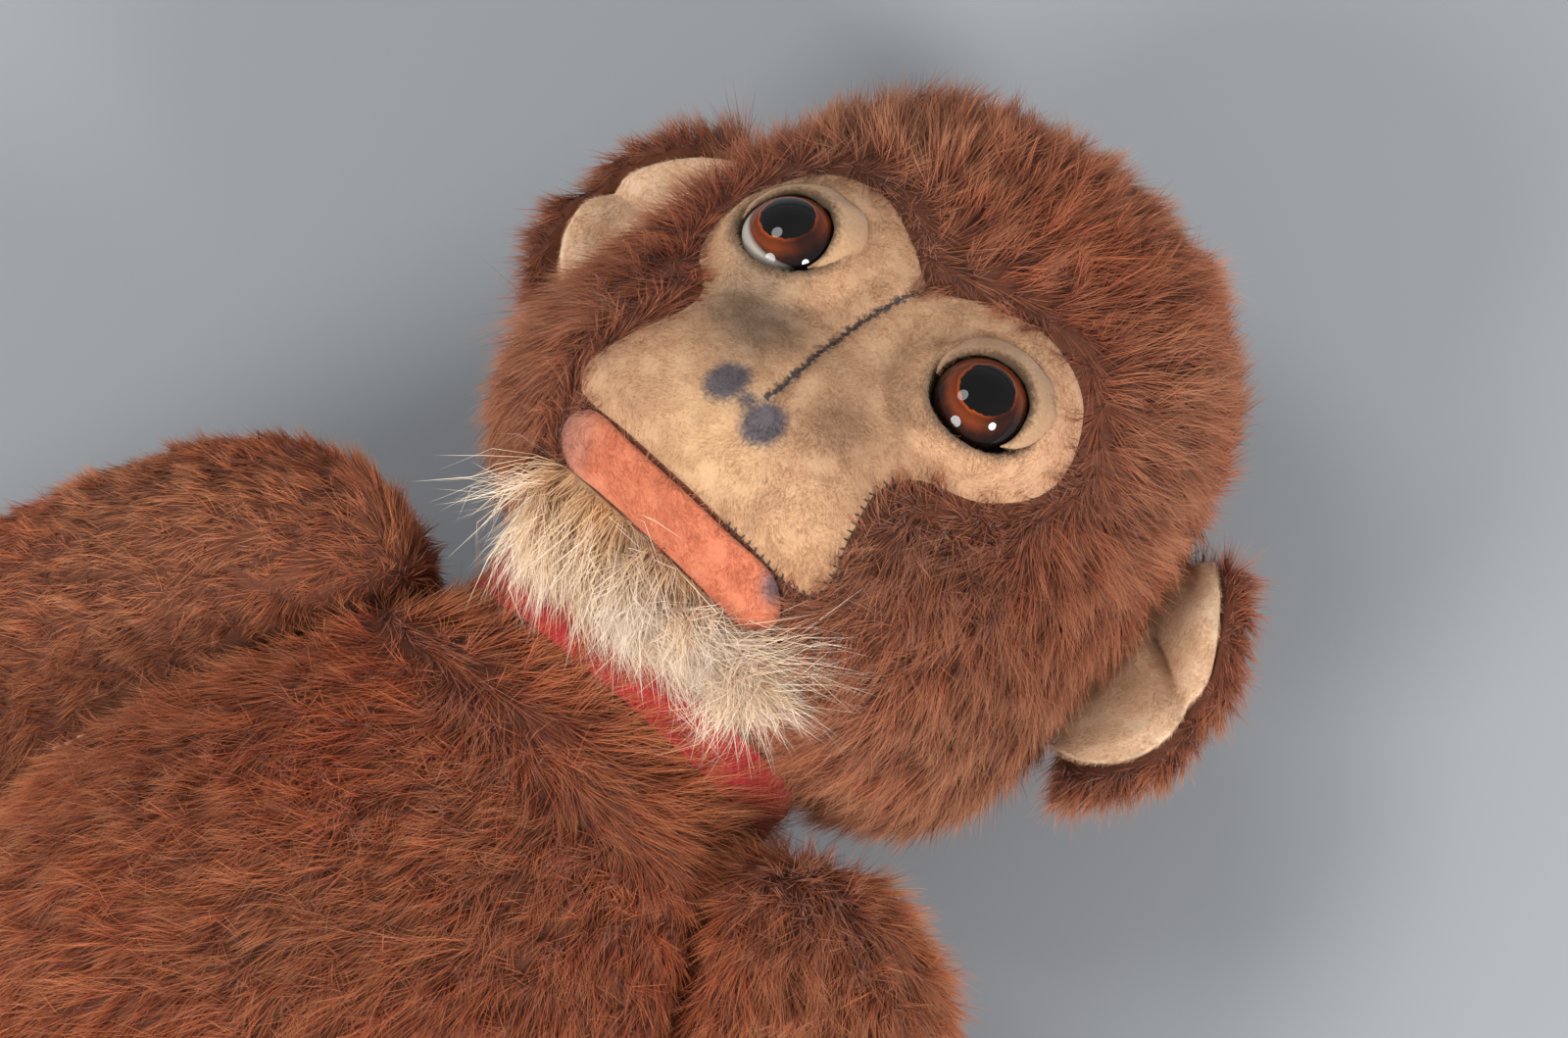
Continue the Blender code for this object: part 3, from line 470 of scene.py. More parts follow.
# Towards the collar the pile turns from downwards to upwards, and is long enough to lie over the tape
rising = smooth_step(62 * MM, 80 * MM, points[:, 1])
turn = 0.9 * pi * rising
brush = np.stack([points[:, 0] * 6 + np.sin(turn), -np.cos(turn), 0 * turn], axis=1)
cover = 0.25 + 0.75 * smooth_step(0.030, 0.050, points[:, 2])
cover *= smooth_step(89.0 * MM, 86.5 * MM, points[:, 1])
length = PILE * (0.30 + 0.70 * crease) * (1 + 0.40 * rising)
lay_pile(cloths["torso"], "torso_body", brush, length, cover, 0.70, 11)

# The right arm is worn: its pile is less than half as long
for side, worn in (("left", 0.0), ("right", 1.0)):
    arm, leg = f"arm_{side}", f"leg_{side}"
    points = points_of(cloths[arm].data)
    shoulder = np.array(joints[f"shoulder_{side}"]["pos_m"])
    brush = np.tile(np.array(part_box(f"hand_{side}")).mean(axis=0) - shoulder, (len(points), 1))
    crease = smooth_step(1 * MM, 8 * MM, gap_to(solids_tree("torso"), points, 12 * MM))
    length = PILE * (1 - 0.55 * worn) * (0.35 + 0.65 * crease)
    cover = 1 - 0.7 * smooth_step(0.075, 0.100, np.linalg.norm(points - shoulder, axis=1))
    lay_pile(cloths[arm], BODY_OF[arm], brush, length, cover, 0.45, 21 + worn)
    full = np.ones(len(cloths[leg].data.vertices))
    brush = np.tile([0.0, -1.0, 0.0], (len(full), 1))
    lay_pile(cloths[leg], BODY_OF[leg], brush, PILE * full, 0.30 * full, 0.5, 31 + worn)
print("the worn arm's pile:", round(length.min() / MM, 1), "to", round(length.max() / MM, 1), "mm")

# %% [markdown]
# ## Mohair, hair by hair
#
# A pile this long can't be painted: its outline and its dark partings are what make it look like mohair. A
# particle system would be lost in the export, so Geometry Nodes scatter roots over the cloth and put a thin
# tapered blade on each. The blade is then bent. It leaves the cloth along the brushed direction, leans
# towards the middle of its tuft, wavers, and falls over towards its tip. The tufts are Voronoi cells.


# %% Trees for meshes
def new_tree(name, sockets):
    """A tree that works on a mesh, what enters it, and the function that adds nodes to it."""
    tree = bpy.data.node_groups.new(name, "GeometryNodeTree")
    tree.interface.new_socket(name="Geometry", in_out="INPUT", socket_type="NodeSocketGeometry")
    for name, (kind, value) in sockets.items():
        socket = tree.interface.new_socket(name=name, in_out="INPUT", socket_type=f"NodeSocket{kind}")
        if value is not None:
            socket.default_value = value
    tree.interface.new_socket(name="Geometry", in_out="OUTPUT", socket_type="NodeSocketGeometry")
    return tree, tree.nodes.new("NodeGroupInput").outputs, partial(add_node, tree)


def close_tree(tree, geometry, material):
    """Gives the geometry its material and sends it out."""
    made = add_node(tree, "GeometryNodeSetMaterial", {"Geometry": geometry, "Material": material})
    tree.links.new(made, tree.nodes.new("NodeGroupOutput").inputs[0])
    return tree


def run_tree(piece, tree, given, material):
    """Sets the tree's inputs by name and works it into a plain mesh with one material."""
    modifier = piece.modifiers.new("nodes", "NODES")
    modifier.node_group = tree
    for socket in tree.interface.items_tree:
        if socket.in_out == "INPUT" and socket.name in given:
            modifier[socket.identifier] = given[socket.name]
    mesh = settled(piece).data
    mesh.materials.clear()
    mesh.materials.append(material)
    mesh.polygons.foreach_set("material_index", [0] * len(mesh.polygons))
    mesh.shade_smooth()
    return mesh


# %% The blade and the tree that grows the pile
def hair_blade(name, segments):
    """A flat ribbon that ends in a point. Its shape is given by the nodes, from along and across."""
    along, across = [], []
    for step in range(segments):
        along += [step / segments] * 2
        width = 1 - 0.35 * step / segments
        across += [-width, width]
    tip = 2 * segments
    faces = [(here - 2, here - 1, here + 1, here) for here in range(2, tip, 2)] + [(tip - 2, tip - 1, tip)]
    points = [(0, 0, 0)] * (tip + 1)
    return add_piece(name, new_mesh(name, points, faces, along=along + [1.0], across=across + [0.0]))


# Real mohair is about 0.03 mm thick. A blade is 0.2 mm wide, twice the Width, so that it shows and covers
PILE_INPUTS = {
    "Blade": ("Object", None),
    "Density": ("Float", 1.0e6),
    "Length": ("Float", 1.0),
    "Seed": ("Int", 1),
    "Width": ("Float", 0.00010),
    "Lift": ("Float", 1.1),
    "Fall": ("Float", 0.45),
    "Tuft Size": ("Float", 0.0040),
    "Tuft Pull": ("Float", 0.50),
    "Tangle": ("Float", 2.2),
    "Curl": ("Float", 0.0130),
    "Stray": ("Float", 0.40),
    "Hair": ("Material", None),
}
# What is stored for a hair's blade: numbers, and the rest directions or places
NUMBERS = ("pile", "cover", "along", "across", "reach")
DIRECTIONS = ("comb", "root", "out", "gather", "stray")
TANGLE_SCALE, WISP_SCALE = 240.0, 330.0  # tangles about 4 mm across and wisps about 3 mm
CELL_SHARE = 0.55  # how much of a hair's shade it shares with its tuft


def pile_tree():
    tree, entry, add = new_tree("mohair_pile", PILE_INPUTS)
    NUMBER, VECTOR = "ShaderNodeMath", "ShaderNodeVectorMath"
    pile, cover, along, across, reach, comb, root, out, gather, stray = (
        add("GeometryNodeInputNamedAttribute", {"Name": name}, data_type=kind)
        for kind, names in (("FLOAT", NUMBERS), ("FLOAT_VECTOR", DIRECTIONS))
        for name in names
    )

    # Roots, each with what its blade will need
    density = add(NUMBER, (entry["Density"], cover), operation="MULTIPLY")
    scatter = {"Mesh": entry["Geometry"], "Density": density, "Seed": entry["Seed"]}
    points = add("GeometryNodeDistributePointsOnFaces", scatter)
    normal, place = points.node.outputs["Normal"], add("GeometryNodeInputPosition")
    cells = add(NUMBER, (1.0, entry["Tuft Size"]), operation="DIVIDE")
    middle = add("ShaderNodeTexVoronoi", {"Vector": place, "Scale": cells}, "Position")
    cell_red = add("ShaderNodeSeparateXYZ", [middle.node.outputs["Color"]])
    ranges = [(0.72, 1.12, 3, "FLOAT"), (0.0, 1 - CELL_SHARE, 7, "FLOAT")]
    ranges.append(((-1, -1, -1), (1, 1, 1), 5, "FLOAT_VECTOR"))
    uneven, own_shade, own_way = (
        add("FunctionNodeRandomValue", {"Min": low, "Max": high, "Seed": seed}, "Value", data_type=kind)
        for low, high, seed, kind in ranges
    )
    full_length = add(NUMBER, (pile, entry["Length"]), operation="MULTIPLY")
    stored = {
        "root": place,
        "out": normal,
        "gather": add(VECTOR, (middle, place), operation="SUBTRACT"),
        "stray": own_way,
        "reach": add(NUMBER, (full_length, uneven), operation="MULTIPLY"),
        "tint": add(NUMBER, (cell_red, CELL_SHARE, own_shade), operation="MULTIPLY_ADD"),
    }
    for name, value in stored.items():
        kind = "FLOAT_VECTOR" if name in DIRECTIONS else "FLOAT"
        inputs = {"Geometry": points, "Name": name, "Value": value}
        points = add("GeometryNodeStoreNamedAttribute", inputs, data_type=kind, domain="POINT")
    blade = add("GeometryNodeObjectInfo", {"Object": entry["Blade"]}, "Geometry")
    hairs = add("GeometryNodeInstanceOnPoints", {"Points": points, "Instance": blade})
    hairs = add("GeometryNodeRealizeInstances", [hairs])

    # The bent blade is a sum of pushes, each one a direction times its amounts
    def pushed(place, direction, *amounts):
        for amount in amounts:
            direction = add(VECTOR, {0: direction, "Scale": amount}, operation="SCALE")
        return add(VECTOR, (place, direction), operation="ADD")

    def wander(place, scale):
        colour = add("ShaderNodeTexNoise", {"Vector": place, "Scale": scale, "Detail": 1.0}, "Color")
        return add(VECTOR, (colour, (0.5, 0.5, 0.5)), operation="SUBTRACT")

    start = pushed(comb, out, entry["Lift"])
    start = pushed(start, wander(root, TANGLE_SCALE), 3.0, entry["Tangle"])
    start = add(VECTOR, [pushed(start, stray, entry["Stray"])], operation="NORMALIZE")
    straight = pushed(root, start, along, reach)
    wisp = wander(add(VECTOR, (straight, (0.37, 0.11, 0.23)), operation="ADD"), WISP_SCALE)
    spine = pushed(straight, pushed(comb, out, -0.75), entry["Fall"], along, along, reach)
    spine = pushed(spine, wisp, along, entry["Curl"])
    spine = pushed(spine, gather, along, entry["Tuft Pull"])
    edge = add(VECTOR, (start, stray), operation="CROSS_PRODUCT")
    edge = add(VECTOR, [edge], operation="NORMALIZE")
    spine = pushed(spine, edge, across, entry["Width"])
    hairs = add("GeometryNodeSetPosition", {"Geometry": hairs, "Position": spine})
    return close_tree(tree, hairs, entry["Hair"])


PILE_TREE = pile_tree()
BLADE = hair_blade("hair_blade", 1)
LONG_BLADE = hair_blade("long_hair_blade", 3)
FLOOR_CLEARANCE = 0.3 * MM
SPENT = {*NUMBERS, *DIRECTIONS} - {"along"}


def grow(name, base, material, keep=None, **sizes):
    """Grows pile on a cloth and returns it as a plain mesh with only the values that its colour needs."""
    mesh = base.data.copy()
    if keep is not None:
        held = mesh.attributes["cover"].data
        cover = np.empty(len(held), dtype=np.float32)
        held.foreach_get("value", cover)
        held.foreach_set("value", (cover * keep(points_of(mesh))).astype(np.float32))
    piece = add_piece(name, mesh)
    given = {"Blade": BLADE, "Hair": material}
    given |= {key.replace("_", " "): value for key, value in sizes.items()}
    mesh = run_tree(piece, PILE_TREE, given, material)
    for attribute in [a.name for a in mesh.attributes if a.name in SPENT]:
        mesh.attributes.remove(mesh.attributes[attribute])
    places = points_of(mesh)
    places[:, 2] = np.maximum(places[:, 2], FLOOR_CLEARANCE)
    move_points(mesh, places)
    print(name, len(mesh.polygons), "faces")
    return piece


# %% [markdown]
# ## The colour of mohair
#
# Dyed mohair is darkest at its roots, where no light or dust has reached, and bleached at its tips. The
# change from root to tip is also painted shade down among the tufts and painted light on their tips. Whole
# tufts differ a little, and handling has left wide paler and redder patches. A soft sheen stands for the
# hair's lustre.


# %% Mohair materials
def mohair(name, root, middle, tip, warm, patch_size=45 * MM):
    dull = {"Sheen_Weight": 0.25, "Sheen_Roughness": 0.5, "Specular_IOR_Level": 0.25}
    material, add = new_material(name, Roughness=0.62, **dull)
    named = (add("ShaderNodeAttribute", output="Fac", attribute_name=name) for name in ("along", "tint"))
    along, tint = named
    # Root to tip: the dye's fading, with painted shade at the roots and painted light at the tips
    hair = add("ShaderNodeValToRGB", [along], stops=((0, root), (0.45, middle), (1, tip)))
    place = add("ShaderNodeTexCoord", output="Object")
    cloud = add("ShaderNodeTexNoise", {"Vector": place, "Scale": 1 / patch_size, "Detail": 2.0})
    patch = add("ShaderNodeMapRange", {"Value": cloud, "From Min": 0.38, "From Max": 0.68, "To Max": 0.6})
    warmed = {0: patch, 6: hair, 7: linear(warm)}
    warmed = add("ShaderNodeMix", warmed, 2, data_type="RGBA", blend_type="SOFT_LIGHT")
    light = add("ShaderNodeMapRange", {"Value": tint, "To Min": 0.72, "To Max": 1.28})
    shade(material, Base_Color=add("ShaderNodeHueSaturation", {"Value": light, "Color": warmed}))
    return material


FADED = mohair("faded_brown_mohair", "#6C3A24", "#A05E3E", "#C48C66", "#B6784E")
BROWN = mohair("red_brown_mohair", "#7A3C22", "#B4643A", "#D39062", "#BB774A")
WORN = mohair("worn_brown_mohair", "#7A4128", "#AE653E", "#CA8B60", "#B3764C")
ORANGE = mohair("orange_brown_mohair", "#8A4528", "#C9744C", "#E8A07C", "#D98A60", 20 * MM)
CREAM = mohair("cream_mohair", "#C7A27C", "#E6C9A8", "#F7E9D8", "#E6C4A0", 12 * MM)
# The woven backing is uneven in the size of its threads, and its dark colour is painted shade between the
# tufts
PAINTED_SHADE_BACKING = mottled("mohair_backing_painted_shade", 1.1111 * MM, "#532A19", "#744129", Roughness=0.95)

# %% [markdown]
# ## Felt laid on the face
#
# The face is cut flat from felt and sewn onto the stuffed head, so it is drawn flat here too. Each flat point
# drops straight back onto the head's cloth and is lifted off it by the felt and what pads it. The flat place
# stays with every point, because the stains and the pen marks are laid out in it.

# %% Laying flat shapes on the head
head_tree = search_tree([head_cloth.data], head_frame.inverted())
SLOPE_REACH = 3 * MM


def head_spot(x, y):
    """The head's surface behind a flat point of the face, and its direction over a few millimetres."""

    def hit(across, along):
        return head_tree.ray_cast(Vector((x + across, y + along, 0.4)), Vector((0, 0, -1)))[0]

    slope = (hit(SLOPE_REACH, 0) - hit(-SLOPE_REACH, 0)).cross(hit(0, SLOPE_REACH) - hit(0, -SLOPE_REACH))
    return hit(0, 0), slope.normalized()


def smooth_loop(half, count):
    """A closed curve through the corners of a mirrored outline, with points at even steps."""
    corners = np.array(half + [(-x, y) for x, y in reversed(half) if x > 0])
    before, after, later = (np.roll(corners, k, axis=0) for k in (1, -1, -2))
    p, q, r, s = (part[:, None, :] for part in (before, corners, after, later))
    t = (np.arange(16) / 16)[None, :, None]
    fine = q + (r - p) * t / 2 + (2 * p - 5 * q + 4 * r - s) * t**2 / 2 + (3 * q - p - 3 * r + s) * t**3 / 2
    fine = fine.reshape(-1, 2)[::-1]
    closed = np.vstack([fine, fine[:1]])
    travelled = np.concatenate([[0], np.cumsum(np.linalg.norm(np.diff(closed, axis=0), axis=1))])
    wanted = np.linspace(0, travelled[-1], count, endpoint=False)
    return np.stack([np.interp(wanted, travelled, closed[:, k]) for k in (0, 1)], axis=1)


def felt_patch(name, loop, centre, rows, relief, thickness):
    """A flat shape laid on the face. relief is its height there, from x, y and the edge's distance."""
    count, centre = len(loop), np.array(centre)
    flat = np.vstack([centre + (loop - centre) * (1 - row / rows) for row in range(rows)] + [centre[None]])
    last = (rows - 1) * count
    faces = grid_faces(rows, count, around=True)
    faces += [(last + k, last + (k + 1) % count, rows * count) for k in range(count)]
    edge = np.min(np.linalg.norm(flat[:, None] - loop[None], axis=2), axis=1)
    places = []
    for (x, y), inside in zip(flat, edge):
        spot, slope = head_spot(x, y)
        places.append(head_frame @ (spot + slope * relief(x, y, inside)))
    flat = np.column_stack([flat[:, 0], flat[:, 1] - EYE_LEVEL, 0 * edge]) / MM
    return thickened(add_piece(name, new_mesh(name, places, faces, flat=flat)), thickness, -1)


# %% [markdown]
# ## The felt face, lip and chin
#
# The face has a round lobe for each eye, a waist and a broad muzzle. The felt is pushed up round each glass,
# which makes the eyes look set in, and is drawn down a little along the pen line. The lip is a thick strip
# whose edges roll under. The chin is a small pad that only carries the long pale hair.

# %% Face, lip and chin
MASK_TOP, MASK_SIDE, MASK_WAIST, MASK_FOOT, FOOT_SIDE = 19 * MM, 37.5 * MM, 23 * MM, 42.5 * MM, 28 * MM
MASK_NOTCH, LIP_HALF, LIP_WIDTH, SEAM = 11.5 * MM, 25 * MM, 8.2 * MM, 0.7 * MM
CHIN_HALF, CHIN_HEIGHT = 25 * MM, 8 * MM
mask_half = [
    (0, MASK_NOTCH),
    (0.20 * MASK_SIDE, 0.80 * MASK_TOP),
    (0.50 * MASK_SIDE, MASK_TOP),
    (0.80 * MASK_SIDE, 0.84 * MASK_TOP),
    (0.97 * MASK_SIDE, 0.38 * MASK_TOP),
    (MASK_SIDE, -0.08 * MASK_TOP),
    (0.88 * MASK_SIDE, -0.24 * MASK_FOOT),
    (1.08 * MASK_WAIST, -0.37 * MASK_FOOT),
    (MASK_WAIST, -0.52 * MASK_FOOT),
    (0.92 * FOOT_SIDE, -0.73 * MASK_FOOT),
    (FOOT_SIDE, -0.90 * MASK_FOOT),
    (0.90 * FOOT_SIDE, -0.995 * MASK_FOOT),
    (0.45 * FOOT_SIDE, -MASK_FOOT),
    (0, -MASK_FOOT),
]
mask_loop = smooth_loop([(x, EYE_LEVEL + y) for x, y in mask_half], 176)


def pen_line(y):
    """Where the pen line down the face runs: it starts at the notch and wanders to the nostrils."""
    share = (MASK_NOTCH - (y - EYE_LEVEL)) / (32 * MM)
    return -2.2 * MM * sin(pi * share * 1.15)


def face_relief(x, y, inside):
    height = 0.3 * MM + 1.6 * MM * smooth_step(0, 5 * MM, inside)
    for side in EYES.values():
        gap = sqrt((x - side * EYE_SPACING / 2) ** 2 + (y - EYE_LEVEL) ** 2)
        height += 3.4 * MM * smooth_step(14.5 * MM, 9.8 * MM, gap) * smooth_step(7.4 * MM, 9.0 * MM, gap)
    down = EYE_LEVEL - y
    nose = smooth_step(6 * MM, 18 * MM, down) * smooth_step(40 * MM, 28 * MM, down)
    height += 2.0 * MM * nose * exp(-((x / (11 * MM)) ** 2))
    drawn = exp(-(((x - pen_line(y)) / (1.2 * MM)) ** 2))
    return height - 0.6 * MM * drawn * smooth_step(26 * MM, 20 * MM, down)


def lip_relief(x, y, inside):
    return 0.7 * MM + 1.2 * MM * sqrt(min(inside / (2.4 * MM), 1.0))


def chin_relief(x, y, inside):
    return 0.5 * MM + 1.5 * MM * smooth_step(0, 3 * MM, inside)


face = felt_patch("felt_face", mask_loop, (0, EYE_LEVEL - 0.30 * MASK_FOOT), 46, face_relief, 1.1 * MM)
flat = read_vectors(face.data.attributes["flat"].data, "vector")
write_value(face.data, "pen", [x - pen_line(y * MM + EYE_LEVEL) / MM for x, y, _ in flat])

lip_top = EYE_LEVEL - MASK_FOOT - SEAM
lip_middle, half = lip_top - LIP_WIDTH / 2, LIP_WIDTH / 2
lip_half = [(0, half), (0.45 * LIP_HALF, half), (LIP_HALF - half, half), (LIP_HALF, 0)]
lip_half += [(x, -y) for x, y in reversed(lip_half[:3])]
lip_loop = smooth_loop([(x, lip_middle + y) for x, y in lip_half], 120)
lip = felt_patch("felt_lip", lip_loop, (0, lip_middle), 9, lip_relief, 1.0 * MM)

chin_top = lip_top - LIP_WIDTH - SEAM
chin_half = [(0, 0), (0.55, 0), (0.92, -0.04), (1, -0.38), (0.84, -0.72), (0.50, -1), (0, -1)]
chin_loop = smooth_loop([(x * CHIN_HALF, chin_top + y * CHIN_HEIGHT) for x, y in chin_half], 72)
chin = felt_patch("chin_pad", chin_loop, (0, chin_top - CHIN_HEIGHT / 2), 6, chin_relief, 1.2 * MM)
print("face, lip and chin:", [len(piece.data.polygons) for piece in (face, lip, chin)], "faces")

# %% [markdown]
# ## Felt, soiled
#
# Felt is matted wool: dull, a little fuzzy, with no weave. Each felt takes one recipe, and a list of marks
# laid out in flat millimetres. A dark ring round each glass is painted shade where the felt meets it, and the
# face has darker, greyer and paler patches.

# %% Felt material
SOILING, FIBRES = 11.765 * MM, 0.6667 * MM  # wool fibres are finer, and are drawn this coarse to show
PEN_END = -26


def felt(name, light, dark, marks=(), pen=False):
    """marks are (x, y, core, edge, colour, strength) in flat millimetres from the eye line."""
    dull = {"Sheen_Weight": 0.12, "Sheen_Roughness": 0.6, "Specular_IOR_Level": 0.15}
    material, add = new_material(name, Roughness=0.95, **dull)
    flat = add("ShaderNodeAttribute", output="Vector", attribute_name="flat")
    place = add("ShaderNodeTexCoord", output="Object")
    cloud = add("ShaderNodeTexNoise", {"Vector": place, "Scale": 1 / SOILING, "Detail": 3.0})
    fibre = add("ShaderNodeTexNoise", {"Vector": place, "Scale": 1 / FIBRES, "Detail": 2.0})
    colour = add("ShaderNodeValToRGB", [cloud], stops=((0.28, dark), (0.72, light)))
    for x, y, core, edge, code, strength in marks:
        gap = add("ShaderNodeVectorMath", (flat, (x, y, 0)), "Value", operation="DISTANCE")
        ragged = add("ShaderNodeMath", (fibre, 1.6, gap), operation="MULTIPLY_ADD")
        span = {"Value": ragged, "From Min": edge + 0.8, "From Max": core + 0.8, "To Max": strength}
        amount = add("ShaderNodeMapRange", span, interpolation_type="SMOOTHSTEP")
        colour = add("ShaderNodeMix", {0: amount, 6: colour, 7: linear(code)}, 2, data_type="RGBA")
    if pen:
        side = add("ShaderNodeAttribute", output="Fac", attribute_name="pen")
        side = add("ShaderNodeMath", [side], operation="ABSOLUTE")
        blot = add("ShaderNodeTexNoise", {"Vector": flat, "Scale": 1.15, "Detail": 3.0})
        width = {"Value": blot, "From Min": 0.42, "From Max": 0.60, "To Min": 0.25, "To Max": 1.5}
        share = add("ShaderNodeMath", (side, add("ShaderNodeMapRange", width)), operation="DIVIDE")
        line = add("ShaderNodeMapRange", {"Value": share, "From Min": 1.1, "From Max": 0.35, "To Max": 0.9})
        down = add("ShaderNodeSeparateXYZ", [flat], "Y")
        above = add("ShaderNodeMath", (down, PEN_END), operation="GREATER_THAN")
        drawn = add("ShaderNodeMath", (line, above), operation="MULTIPLY")
        colour = add("ShaderNodeMix", {0: drawn, 6: colour, 7: linear("#35333A")}, 2, data_type="RGBA")
    grain = add("ShaderNodeMapRange", {"Value": fibre, "To Min": 0.80, "To Max": 1.20})
    grained = add("ShaderNodeHueSaturation", {"Value": grain, "Color": colour})
    bump = add("ShaderNodeBump", {"Height": fibre, "Strength": 0.5, "Distance": 0.3 * MM})
    shade(material, Base_Color=grained, Normal=bump)
    return material


half_spacing = EYE_SPACING / 2 / MM
FACE_MARKS = (
    (28, 3, 3, 17, "#E0AE88", 0.75),
    (24, -14, 2, 13, "#C79A76", 0.60),
    (-16, -13, 2, 12, "#86705A", 0.75),
    (-9, -17, 2, 9, "#7C6552", 0.55),
    (11, -20, 1, 8, "#8A6248", 0.60),
    (16, -9, 1, 7, "#8F6D52", 0.45),
    (-28, 8, 2, 9, "#9C8366", 0.50),
    (0, -36, 3, 15, "#D9B184", 0.60),
    (23, -40, 1, 7, "#B98A62", 0.55),
    # Dark rings round each glass: painted shade where the felt meets the glass
    (-half_spacing, 0, 8.0, 11.5, "#5E4632", 0.75),
    (half_spacing, 0, 8.0, 11.0, "#5E4632", 0.75),
    (-half_spacing, 0, 7.6, 9.2, "#1E140E", 0.85),
    (half_spacing, 0, 7.6, 9.2, "#1E140E", 0.85),
    (-4.6, -27.5, 2.2, 4.5, "#454A5C", 0.85),
    (4.6, -28.5, 2.2, 4.5, "#454A5C", 0.85),
    (0.2, -27.8, 0.3, 1.9, "#4D5163", 0.75),
)
LIP_MARKS = (
    (-24, -47, 2, 10, "#B88672", 0.7),
    (22, -43.5, 0.5, 4.0, "#5C5F6C", 0.8),
    (-20, -50, 1, 6, "#C98A72", 0.6),
)
TAN_FELT = felt("tan_felt", "#D3A880", "#BF9470", FACE_MARKS, pen=True)
CORAL_FELT = felt("coral_felt", "#E08C66", "#C87050", LIP_MARKS)
CREAM_FELT = felt("cream_felt", "#F2D1AE", "#DDB38C")
# The lid's dark ring next to the glass is painted shade where the felt meets the glass
LID_FELT = felt("tan_lid_felt", "#CFA57E", "#B28A66", ((0, 0, 7.6, 9.6, "#3A2A1C", 0.85),))
PAD_FELT = felt("tan_hand_felt", "#CDA77C", "#A88460")
for piece, material in ((chin, CREAM), (face, TAN_FELT), (lip, CORAL_FELT)):
    piece.data.materials.append(material)
print("marks on the face and lip:", len(FACE_MARKS), len(LIP_MARKS))

# %% [markdown]
# ## Glass eyes
#
# A glass eye is a clear dome with the colours fired on its back: a black pupil, an amber ring that darkens
# outwards, and a dark rim. Turned once round its axis it needs only a profile. The colours are painted by the
# distance from the axis and a hard clear coat gives the wet look and the round window lights.

# %% Eyes
EYE_RADIUS, EYE_DOME, EYE_RIM = 8 * MM, 4.9 * MM, 1.6 * MM
EYE_SIDES = 56


def eye_frame(side):
    """The glass's own frame: Z along the line from the wire loop to the glass, at the glass's back."""
    nodes = (frame["nodes"][f"{part}_{side}"].data for part in ("eye", "eye_wire"))
    glass, loop = (np.unique(np.round(points_of(mesh), 6), axis=0) for mesh in nodes)
    axis = unit(glass.mean(axis=0) - loop.mean(axis=0))
    back = np.min((glass - glass.mean(axis=0)) @ axis)
    across = head_axes[:, 0]
    across = unit(across - axis * (across @ axis))
    turned = Matrix((Vector(across), Vector(np.cross(axis, across)), Vector(axis))).transposed()
    return Matrix.Translation(Vector(glass.mean(axis=0) + axis * back)) @ turned.to_4x4()


def on_eye(name, side, points, faces, flat, material):
    """A piece built round an eye's axis, set in its place with its flat places kept."""
    mesh = new_mesh(name, points, faces, flat=flat)
    mesh.transform(eye_frame(side))
    mesh.shade_smooth()
    return add_piece(name, mesh, material)


def make_glass(side, material):
    """The dome's profile turned round its axis, closed at its top and its back."""
    ball = (EYE_RADIUS**2 + EYE_DOME**2) / (2 * EYE_DOME)
    profile = []
    for step in range(1, 17):
        out = EYE_RADIUS * sin(pi / 2 * step / 16) * 0.985
        profile.append((out, EYE_RIM + EYE_DOME - ball + sqrt(ball**2 - out**2)))
    profile += [(EYE_RADIUS, EYE_RIM * 0.75), (EYE_RADIUS, EYE_RIM * 0.3), (0.94 * EYE_RADIUS, 0)]
    angles = [2 * pi * k / EYE_SIDES for k in range(EYE_SIDES)]
    points = [(r * cos(angle), r * sin(angle), z) for r, z in profile for angle in angles]
    points += [(0, 0, profile[0][1]), (0, 0, profile[-1][1])]
    faces = grid_faces(len(profile), EYE_SIDES, around=True, turned=True)
    last = (len(profile) - 1) * EYE_SIDES
    for k in range(EYE_SIDES):
        faces.append((k, (k + 1) % EYE_SIDES, len(points) - 2))
        faces.append((last + (k + 1) % EYE_SIDES, last + k, len(points) - 1))
    return on_eye(f"glass_eye_{side}", side, points, faces, np.array(points) / MM, material)


